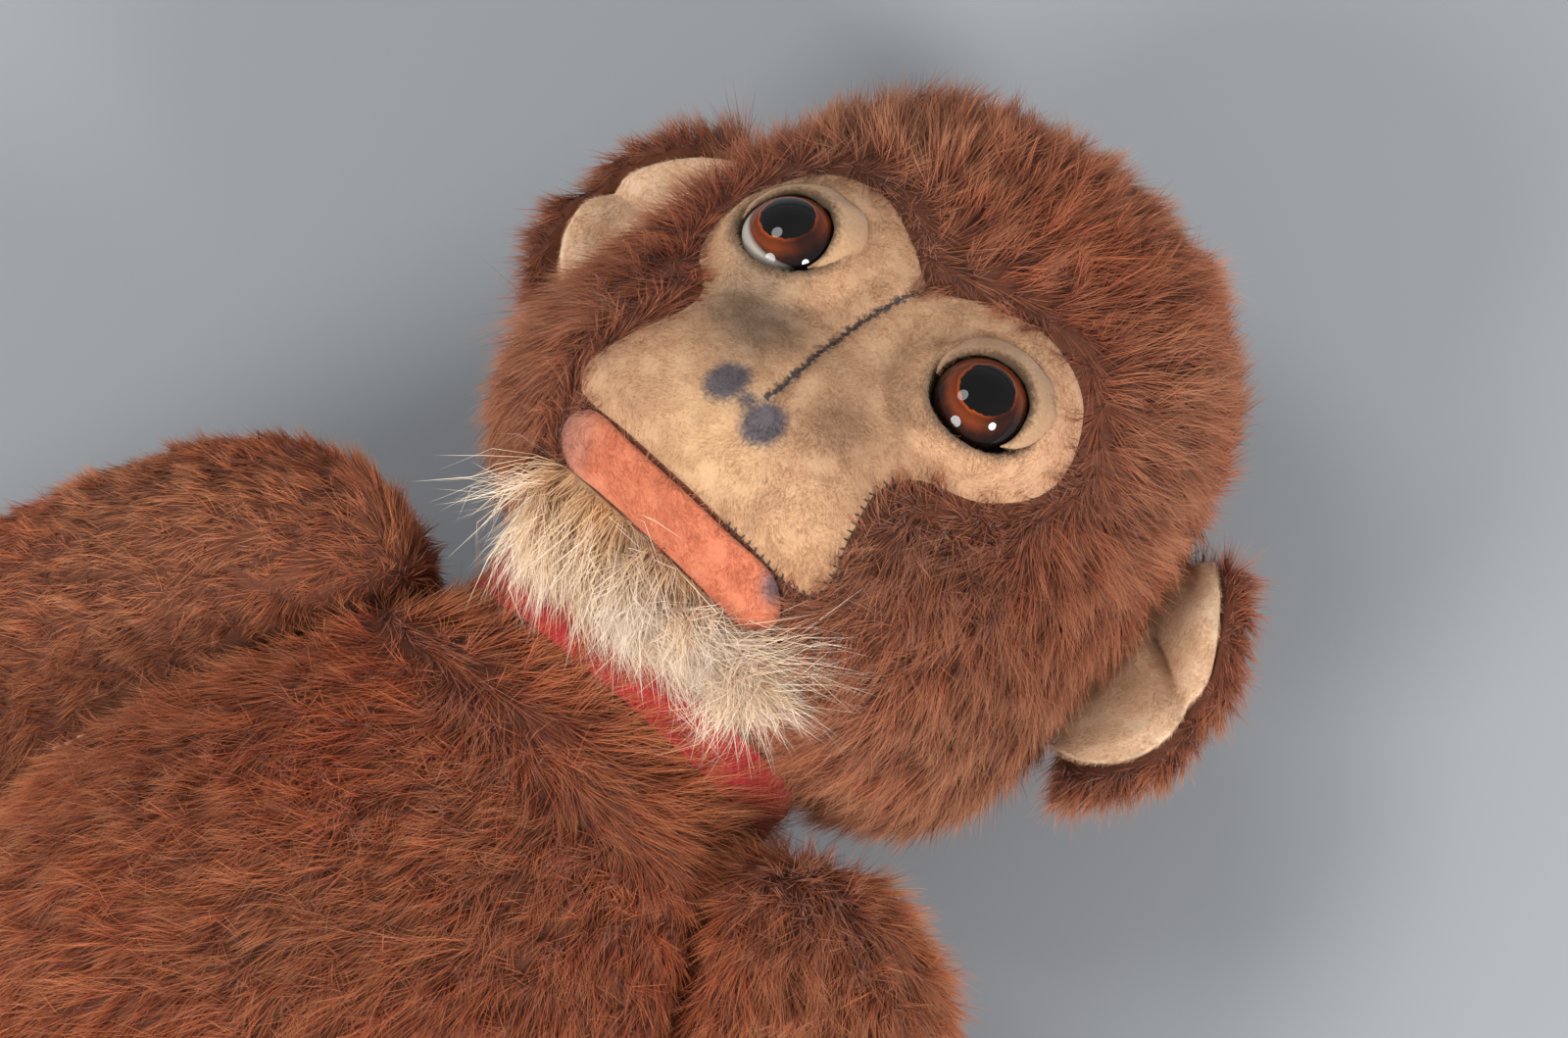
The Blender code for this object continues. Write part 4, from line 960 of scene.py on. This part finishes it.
def amber_glass(name, crescent):
    """Colours by the distance from the axis, in millimetres. crescent is how strong a painted pale rim of
    light is.
    """
    clear = {"Coat_Weight": 1.0, "Coat_Roughness": 0.015, "Coat_IOR": 1.42, "Specular_IOR_Level": 0.0}
    material, add = new_material(name, Roughness=0.30, **clear)
    flat = add("ShaderNodeAttribute", output="Vector", attribute_name="flat")
    level = add("ShaderNodeVectorMath", (flat, (1, 1, 0)), operation="MULTIPLY")
    out = add("ShaderNodeVectorMath", [level], "Value", operation="LENGTH")
    streak = add("ShaderNodeTexNoise", {"Vector": level, "Scale": 0.55, "Detail": 3.0})
    wander = add("ShaderNodeMath", (streak, 1.1, out), operation="MULTIPLY_ADD")
    share = add("ShaderNodeMath", (wander, 8.6), operation="DIVIDE")
    stops = ((0.60, "#050303"), (0.62, "#A04414"), (0.67, "#64290D"), (0.78, "#743313"))
    stops += ((0.89, "#301209"), (0.97, "#100705"))
    colour = add("ShaderNodeValToRGB", [share], stops=stops)
    # A painted shadow on the side away from the window, and a painted pale crescent of light at the glass's
    # edge
    shades = (((5.5, -1.0, 0), 5.5, 1.5, 0.85, "#0D0706"), ((1.1, 1.5, 0), 8.2, 8.8, crescent, "#B9AFA2"))
    for centre, first, full, strength, code in shades:
        gap = add("ShaderNodeVectorMath", (level, centre), "Value", operation="DISTANCE")
        amount = {"Value": gap, "From Min": first, "From Max": full, "To Max": strength}
        mixed = {0: add("ShaderNodeMapRange", amount), 6: colour, 7: linear(code)}
        colour = add("ShaderNodeMix", mixed, 2, data_type="RGBA")
    shade(material, Base_Color=colour)
    return material


# How strong the painted pale crescent of light is on each glass
CRESCENTS = {"left": 0.0, "right": 0.9}
glasses = {side: make_glass(side, amber_glass(f"amber_glass_{side}", CRESCENTS[side])) for side in EYES}
print("eyes:", {side: len(piece.data.polygons) for side, piece in glasses.items()}, "faces each")

# %% [markdown]
# ## Eyelids
#
# A crescent of felt lies round the top of each glass. One closed section, in millimetres out from the axis
# and up from the glass's back, is carried round and thinned to nothing at both ends.

# %% Eyelids
LID_SECTION = [(7.2, 3.6), (7.7, 4.1), (8.5, 4.2), (9.6, 3.7), (11.0, 2.5), (12.6, 0.9), (13.9, -0.6)]
LID_SECTION += [(12.6, -1.8), (10.0, 0.0), (8.4, 1.4), (7.4, 3.0)]
LID_START, LID_SPAN, LID_STEPS = radians(-24), radians(222), 44
LID_RING, LID_BASE = 8.5, 1.6


def make_lid(side):
    wide = len(LID_SECTION)
    points = []
    for step in range(LID_STEPS + 1):
        share = step / LID_STEPS
        angle = LID_START + LID_SPAN * share
        full = max(sin(pi * share), 0.0) ** 1.1 * 0.97 + 0.03
        rough = 1 + 0.05 * noise.noise(Vector((share * 9, EYES[side], 0)))
        for r, z in LID_SECTION:
            out, high = LID_RING + (r * rough - LID_RING) * full, LID_BASE + (z - LID_BASE) * full
            points.append((out * cos(angle) * MM, out * sin(angle) * MM, high * MM))
    faces = grid_faces(LID_STEPS + 1, wide, around=True, turned=True)
    faces += [tuple(range(wide)), tuple(reversed(range(LID_STEPS * wide, (LID_STEPS + 1) * wide)))]
    return on_eye(f"felt_lid_{side}", side, points, faces, np.array(points) * (1, 1, 0) / MM, LID_FELT)


lids = {side: make_lid(side) for side in EYES}
print("lids:", {side: len(piece.data.polygons) for side, piece in lids.items()}, "faces each")

# %% [markdown]
# ## Ears
#
# Each ear is a mohair flap with a felt lining on its front. It is one surface, described by how far along the
# root and how far out a point lies. Years of handling have pinched it, so a deep crease runs out
# from the root, and the flap above it folds forwards.

# %% Ears
EAR_HEIGHT, EAR_REACH, EAR_CENTRE, EAR_SETBACK = 48 * MM, 26 * MM, 67 * MM, 8 * MM
EAR_DROOP, EAR_FACING = radians(16), radians(20)
EAR_ROWS, EAR_COLUMNS = 34, 18
EAR_PILE = 5.5 * MM


def ear_surface(side, rounding=0.90):
    """The flap of one ear: a function of along, from -1 at its foot to 1 at its top, and of across."""
    way = EYES[side]
    rise = Vector((way * sin(EAR_DROOP), cos(EAR_DROOP), 0))
    facing = Vector((-way * sin(EAR_FACING), 0, cos(EAR_FACING)))
    out = Vector((way * cos(EAR_DROOP), -sin(EAR_DROOP), 0))
    out = (out - facing * out.dot(facing)).normalized()

    def root(along):
        start = Vector((way * 0.4, EAR_CENTRE + EAR_HEIGHT * 0.36 * along, -EAR_SETBACK))
        spot, slope, _, _ = head_tree.ray_cast(start, Vector((-way, 0, 0)))
        return spot + slope * 0.6 * MM

    roots = [root(-1 + k / 6) for k in range(13)]

    def surface(along, across, forward):
        place = (along + 1) * 6
        low = min(int(place), 11)
        base = roots[low].lerp(roots[low + 1], place - low)
        swell = sqrt(1 - (rounding * along) ** 2)
        crease = exp(-(((along - 0.30 + 0.18 * across) / 0.13) ** 2))
        fold = smooth_step(0.30, 0.75, along) * smooth_step(0.2, 0.9, across)
        cup = 6 * MM * (1.6 * across**2 - across) * swell
        pinch = -4.2 * MM * crease * (1 - 0.55 * across) * smooth_step(0, 0.25, across)
        reach = EAR_REACH * across * swell * (1 - 0.10 * crease)
        fan = EAR_HEIGHT * 0.14 * along * across
        wave = 0.9 * MM * noise.noise(Vector((along * 2.1, across * 2.3, way)))
        depth = cup + pinch + wave + 2.4 * MM * fold + forward
        return head_frame @ (base + out * reach + rise * fan + facing * depth)

    return surface


def ear_sheet(name, side, inset, forward, thickness, offset, rounding):
    """A layer of the ear, inset from the flap's edge and pushed forward away from it."""
    surface = ear_surface(side, rounding)
    tall, wide = 1 - inset / (EAR_HEIGHT * 0.5), inset / EAR_REACH
    points, flat = [], []
    for row in range(EAR_ROWS):
        level = 2 * row / (EAR_ROWS - 1) - 1
        for column in range(EAR_COLUMNS):
            along, across = tall * level, wide + (1 - 2 * wide) * column / (EAR_COLUMNS - 1)
            edge = min(column, EAR_COLUMNS - 1 - column, row, EAR_ROWS - 1 - row) / 3
            points.append(surface(along, across, forward * min(edge, 1) * (1 - level**6)))
            flat.append((across * EAR_REACH / MM, along * EAR_HEIGHT / 2 / MM, 0))
    faces = grid_faces(EAR_ROWS, EAR_COLUMNS)
    faces = faces if EYES[side] > 0 else [face[::-1] for face in faces]
    return thickened(add_piece(name, new_mesh(name, points, faces, flat=flat)), thickness, offset)


LINING = {"inset": 2.2 * MM, "forward": 1.6 * MM, "thickness": 1.0 * MM, "offset": 1, "rounding": 1.05}
FLAP = {"inset": 0, "forward": 0, "thickness": 3.2 * MM, "offset": -1, "rounding": 0.88}
ear_linings = {side: ear_sheet(f"ear_lining_felt_{side}", side, **LINING) for side in EYES}
ear_cloths = {side: ear_sheet(f"ear_cloth_{side}", side, **FLAP) for side in EYES}
for side, cloth in ear_cloths.items():
    lining = ear_linings[side]
    lining.data.materials.append(CREAM_FELT)
    softened(cloth, 1.1 * MM, 3)
    points = points_of(cloth.data)
    root = ear_surface(side)(0, 0, 0)
    brush = unit(points - np.array(root)) + everywhere(points, 0, -0.5, -0.4)
    cover = np.where(gap_to(search_tree([lining.data]), points, 8 * MM) < 1.9 * MM, 0, 1.0)
    lay_pile(cloth, "head_body", brush, np.full(len(points), EAR_PILE), cover, 0.5, 41)
    print("ear", side, len(points), "points of cloth")

# %% [markdown]
# ## Collar
#
# A flat cotton tape goes once round the neck. It has been squeezed between the head and the chest, so it has
# pleats along its length and rides up and down. Twill's slanting ribs are finer than a pixel here,
# so they are drawn at twice their real width.

# %% Collar
COLLAR_RADIUS, COLLAR_WIDTH, COLLAR_Y = 33.3 * MM, 9.5 * MM, 88.3 * MM
TAPE_STEPS, TAPE_ROWS = 144, 13
points, flat = [], []
for row in range(TAPE_ROWS):
    share = 2 * row / (TAPE_ROWS - 1) - 1
    for step in range(TAPE_STEPS):
        angle = 2 * pi * step / TAPE_STEPS
        soft = noise.noise(Vector((cos(angle) * 2.2, sin(angle) * 2.2, 0)))
        twist = 2.2 * noise.noise(Vector((cos(angle) * 1.6, sin(angle) * 1.6, 4)))
        pleat = 0.55 * MM * cos(share * 5.2 + twist * 2.4) * (0.6 + 0.8 * abs(soft))
        radius = COLLAR_RADIUS + pleat
        y = COLLAR_Y + share * COLLAR_WIDTH / 2 * 0.96 + 0.5 * MM * soft
        points.append((radius * sin(angle), y, NECK.z + radius * cos(angle)))
        flat.append((angle * COLLAR_RADIUS / MM, share * COLLAR_WIDTH / 2 / MM, 0))
mesh = new_mesh("red_tape", points, grid_faces(TAPE_ROWS, TAPE_STEPS, around=True), flat=flat)
collar = thickened(add_piece("red_tape", mesh), 0.7 * MM, 0)


def twill(name, dark, light):
    """Cotton tape: faded in patches, with slanting ribs that catch the light."""
    material = mottled(name, 11.111 * MM, dark, light, 3.0, Roughness=0.85, Sheen_Weight=0.08)
    add = partial(add_node, material.node_tree)
    dyed = material.node_tree.nodes["Principled BSDF"].inputs["Base Color"].links[0].from_socket
    flat = add("ShaderNodeAttribute", output="Vector", attribute_name="flat")
    ribs = {"Vector": flat, "Scale": 0.31, "Distortion": 0.25}
    rib = add("ShaderNodeTexWave", ribs, "Fac", bands_direction="DIAGONAL")
    # Painted light and shade: the colour is made lighter and darker along the ribs, besides their bump
    light = add("ShaderNodeMapRange", {"Value": rib, "To Min": 0.82, "To Max": 1.12})
    ribbed = add("ShaderNodeHueSaturation", {"Value": light, "Color": dyed})
    bump = add("ShaderNodeBump", {"Height": rib, "Strength": 0.4, "Distance": 0.3 * MM})
    shade(material, Base_Color=ribbed, Normal=bump)
    return material


collar.data.materials.append(twill("red_cotton_twill_tape", "#8F1518", "#BC2C2A"))
print("tape:", round(2 * pi * COLLAR_RADIUS / MM), "mm long")

# %% [markdown]
# ## Hands and feet
#
# The felt hands and feet lie past the photograph's edge. They are the solids' own shapes, evenly meshed and
# rounded as stuffed felt is.

# %% Hands and feet
PADS = ("hand_left", "hand_right", "foot_left", "foot_right")
pads = {name: cloth_body(name, 1.5 * MM, 5) for name in PADS}
for pad in pads.values():
    points = points_of(pad.data)
    move_points(pad.data, points + 0.5 * MM * waves(points, 0.011, 51))
    write_value(pad.data, "flat", points / MM)
    pad.data.materials.append(PAD_FELT)
print("hands and feet:", {name: len(pad.data.polygons) for name, pad in pads.items()}, "faces")

# %% [markdown]
# ## Growing the pile
#
# Every cloth now has its facts, so the one tree grows them all. The legs lie past the photograph's edge and
# have fewer, wider hairs. The worn arm's lie flatter. The chin's are the longest, so each is bent in three
# places, and they sweep down to one side and over the collar.

# %% Growing the pile
LEG_HAIR, WORN_HAIR = {"Width": 0.00018}, {"Lift": 0.7, "Tuft_Pull": 0.35, "Tangle": 1.5}
PILES = {
    "head": (FADED, 4.6e6, {}),
    "torso": (BROWN, 4.1e6, {}),
    "arm_left": (BROWN, 5.2e6, {}),
    "arm_right": (WORN, 5.2e6, WORN_HAIR),
    "leg_left": (BROWN, 5.0e6, LEG_HAIR),
    "leg_right": (BROWN, 5.0e6, LEG_HAIR),
}
furs = {
    name: grow(f"{name}_pile", cloths[name], material, Density=density, Seed=1 + k, **sizes)
    for k, (name, (material, density, sizes)) in enumerate(PILES.items())
}
ear_furs = {side: grow(f"ear_pile_{side}", ear_cloths[side], FADED, Density=8.0e6, Seed=7) for side in EYES}


def facing_out(piece):
    """A share that is 1 on the front of a felt and 0 on its back and its cut edge."""
    return smooth_step(0.15, 0.55, normals_of(piece.data) @ head_axes[:, 2])


points = points_of(chin.data)
below_lip = chin_top - in_head(points)[:, 1]
cover = facing_out(chin) * (0.35 + 0.65 * smooth_step(0.3 * MM, 1.8 * MM, below_lip))
locks = 16 * MM * (1 + 0.35 * waves(points, 0.006, 60)[:, 0])
lay_pile(chin, "head_body", everywhere(points, 0.55, -1.0, 0.25), locks, cover, 0.60, 61)
CHIN_HAIR = {"Lift": 0.40, "Fall": 0.30, "Stray": 0.16, "Tangle": 1.2, "Tuft_Pull": 0.3, "Curl": 0.020}
chin_fur = grow("chin_pile", chin, CREAM, Blade=LONG_BLADE, Density=1.9e7, Seed=8, Width=0.00008, **CHIN_HAIR)

# %% [markdown]
# ## Fuzz on the felt
#
# Felt never has a clean surface. Very short wool fibres stand on it, catch the light at its edges and blur
# the pen marks. They grow with the same nodes as the mohair, and take the felt's own material, because its
# flat places are carried along to every fibre.

# %% Felt fuzz
FUZZ = 1.1 * MM
FUZZ_HAIR = {"Lift": 0.9, "Stray": 0.9, "Tuft_Pull": 0.0, "Curl": 0.0, "Width": 0.00004}
FELTS = {"face": (face, TAN_FELT), "lip": (lip, CORAL_FELT)}
FELTS |= {f"ear_lining_{side}": (ear_linings[side], CREAM_FELT) for side in EYES}
FELTS |= {f"lid_{side}": (lids[side], LID_FELT) for side in EYES}
fuzz = {}
for k, (name, (piece, material)) in enumerate(FELTS.items()):
    points = points_of(piece.data)
    front = np.ones(len(points)) if name.startswith("ear") else facing_out(piece)
    down = everywhere(points, 0.3, -1.0, 0.0)
    lay_pile(piece, "head_body", down, np.full(len(points), FUZZ), front, 1.2, 71 + k)
    fuzz[name] = grow(f"{name}_fuzz", piece, material, Density=1.6e7, Seed=80 + k, **FUZZ_HAIR)

# %% [markdown]
# ## Loose tufts
#
# A few tufts have worked loose and stand away from the rest: on the crown, over the brow and round the ears.
# Each is the same pile, grown longer and only near one place.


# %% Tufts that stand away from the rest
def near(place, reach):
    """A share that is 1 at a place and fades to nothing about twice the reach away."""
    return lambda points: np.exp(-np.sum((points - np.array(place)) ** 2, axis=1) / reach**2)


crown = head_frame @ Vector((20 * MM, 121 * MM, 8 * MM))
brow = head_frame @ head_spot(9 * MM, EYE_LEVEL + 24 * MM)[0]
ear_right, ear_left = ear_surface("right"), ear_surface("left")
TUFTS = (
    ("crown_tuft", head_cloth, crown, 2.2, 1.5, 6.0e6, ORANGE),
    ("brow_tuft", head_cloth, brow, 1.6, 0.8, 9.0e6, ORANGE),
    ("ear_top_tuft", ear_cloths["right"], ear_right(0.96, 0.6, 0), 2.6, 2.2, 8.0e6, BROWN),
    ("ear_foot_tuft", ear_cloths["right"], ear_right(-0.96, 0.7, 0), 4.2, 2.4, 8.0e6, ORANGE),
    ("ear_foot_fringe", ear_cloths["right"], ear_right(-0.85, 0.15, 0), 4.5, 1.9, 6.0e6, ORANGE),
    ("left_ear_foot_tuft", ear_cloths["left"], ear_left(-0.97, 0.6, 0), 3.6, 1.5, 6.0e6, BROWN),
)
tufts = [
    grow(name, base, material, keep=near(place, reach * MM), Length=length, Density=density, Seed=90 + k)
    for k, (name, base, place, reach, length, density, material) in enumerate(TUFTS)
]

# %% [markdown]
# ## Hand stitches
#
# The face is whipped down along the edge of the muzzle with dark thread, and a seam on the worn arm shows its
# light stitches. Every stitch is the same short bead of thread, so nodes set one at each marked
# point, turned along its own direction and standing on the cloth.


# %% Stitches
def stitch_tree():
    tree, entry, add = new_tree("stitches", {"Stitch": ("Object", None), "Thread": ("Material", None)})
    turned = [
        add("GeometryNodeInputNamedAttribute", {"Name": name}, data_type="FLOAT_VECTOR")
        for name in ("way", "out")
    ]
    aim = add("FunctionNodeAxesToRotation", turned, primary_axis="X", secondary_axis="Z")
    bead = add("GeometryNodeObjectInfo", {"Object": entry["Stitch"]}, "Geometry")
    beads = {"Points": entry["Geometry"], "Instance": bead, "Rotation": aim}
    beads = add("GeometryNodeRealizeInstances", [add("GeometryNodeInstanceOnPoints", beads)])
    return close_tree(tree, beads, entry["Thread"])


STITCH_TREE = stitch_tree()


def sew(name, spots, length, width, thread, code):
    """Sets a bowed, six-sided bead of thread at each spot, which is a place, a way to run and a way out."""
    build = bmesh.new()
    bmesh.ops.create_uvsphere(build, u_segments=6, v_segments=5, radius=0.5)
    for vert in build.verts:
        x, y, z = vert.co
        vert.co = (z * length, y * width, x * width + 0.25 * length * (0.25 - z * z))
    bmesh.ops.recalc_face_normals(build, faces=build.faces)
    bead_mesh = bpy.data.meshes.new("stitch_bead")
    build.to_mesh(bead_mesh)
    build.free()
    bead = add_piece("stitch_bead", bead_mesh)
    material, add = new_material(thread, Roughness=0.7)
    place = add("ShaderNodeTexCoord", output="Object")
    ply = add("ShaderNodeTexNoise", {"Vector": place, "Scale": 1 / (0.4 * MM)})
    light = add("ShaderNodeMapRange", {"Value": ply, "To Min": 0.7, "To Max": 1.3})
    shade(material, Base_Color=add("ShaderNodeHueSaturation", {"Value": light, "Color": linear(code)}))
    places, ways, outs = zip(*spots)
    piece = add_piece(name, new_mesh(name, places, way=ways, out=outs))
    run_tree(piece, STITCH_TREE, {"Stitch": bead, "Thread": material}, material)
    bpy.data.objects.remove(bead)
    print(name, len(spots), "stitches")
    return piece


muzzle = [(x, y) for x, y in mask_loop if x > 10 * MM and y < EYE_LEVEL - 17 * MM]
whips = []
for k, ((x, y), (next_x, next_y)) in enumerate(zip(muzzle, muzzle[1:])):
    along = Vector((next_x - x, next_y - y, 0)).normalized()
    spot, slope = head_spot(x, y)
    way = slope.cross(along).normalized() + 0.5 * noise.noise(Vector((k * 1.7, 0, 0))) * along
    whips.append((head_frame @ (spot + slope * 0.55 * MM), head_turned @ way, head_turned @ slope))
whip_stitches = sew("muzzle_stitches", whips, 1.9 * MM, 0.32 * MM, "dark_brown_thread", "#3B2A20")

arm_tree = search_tree([cloths["arm_right"].data])
seam_start, seam_end = Vector((-57 * MM, 34 * MM, 0.2)), Vector((-67 * MM, 17 * MM, 0.2))
SEAM_STITCHES, SEAM_HEIGHT = 9, 1.6 * MM
run = []
for k in range(SEAM_STITCHES):
    above = seam_start.lerp(seam_end, k / (SEAM_STITCHES - 1))
    spot, slope, _, _ = arm_tree.ray_cast(above, Vector((0, 0, -1)))
    run.append((spot + slope * SEAM_HEIGHT, (seam_end - seam_start).normalized(), slope))
seam_stitches = sew("arm_seam_stitches", run, 1.7 * MM, 0.75 * MM, "light_brown_thread", "#C9A080")
for blade in (BLADE, LONG_BLADE):
    bpy.data.objects.remove(blade)

# %% [markdown]
# ## Riding on the bodies
#
# Each dressed piece rides on the body of its solid, and where it stands for a solid, that solid is hidden.


# %% Riding on the bodies
def dress(piece, body, slot, node=None, fill=None):
    """Rides a piece on a body and hides the solid that it stands for. slot and fill are not used."""
    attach(piece, body)
    if node:
        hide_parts(node)


for name, fur in furs.items():
    slot = "worn_mohair" if name == "arm_right" else "mohair"
    cloths[name].data.materials.append(PAINTED_SHADE_BACKING)
    dress(cloths[name], BODY_OF[name], slot, name, 1.0)
    dress(fur, BODY_OF[name], slot)

FUZZ_SLOTS = {"face": "tan_felt", "lip": "coral_felt", "ear": "cream_felt", "lid": "grey_felt"}
head_pieces = [(face, "tan_felt", "face_mask"), (lip, "coral_felt", "upper_lip")]
head_pieces += [(chin, "cream_mohair", "chin", 0.9)]
for side in EYES:
    ear_cloths[side].data.materials.append(PAINTED_SHADE_BACKING)
    head_pieces += [
        (glasses[side], "amber_glass", f"eye_{side}"),
        (lids[side], "grey_felt", f"eyelid_{side}"),
        (ear_cloths[side], "mohair", f"ear_back_{side}", 0.9),
        (ear_linings[side], "cream_felt", f"ear_lining_{side}"),
        (ear_furs[side], "mohair"),
    ]
head_pieces += [(chin_fur, "cream_mohair"), (whip_stitches, "grey_felt")]
head_pieces += [(tuft, "mohair") for tuft in tufts]
head_pieces += [(piece, FUZZ_SLOTS[name.split("_")[0]]) for name, piece in fuzz.items()]
for piece, *rest in head_pieces:
    dress(piece, "head_body", *rest)

dress(seam_stitches, "right_arm", "worn_mohair")
dress(collar, "torso_body", "red_tape", "collar")
for name, pad in pads.items():
    limb = name.replace("hand", "arm").replace("foot", "leg")
    dress(pad, BODY_OF[limb], "tan_felt", name, 0.9)

# %% Board and steel for the joints inside
# Pressed hardboard is a speckled brown, and the pins and washers are steel gone dull
BOARD = mottled("hardboard", 1.6667 * MM, "#5A3E28", "#8A6443", 3.0, Roughness=0.85)
STEEL = mottled("dull_steel", 2 * MM, "#6E6A66", "#A09B95", Roughness=0.45, Metallic=1.0)
for name, node in frame["nodes"].items():
    if name.endswith(("_disc", "_washer", "_pin")) or name.startswith("eye_wire"):
        node.data.materials.clear()
        node.data.materials.append(BOARD if name.endswith("_disc") else STEEL)
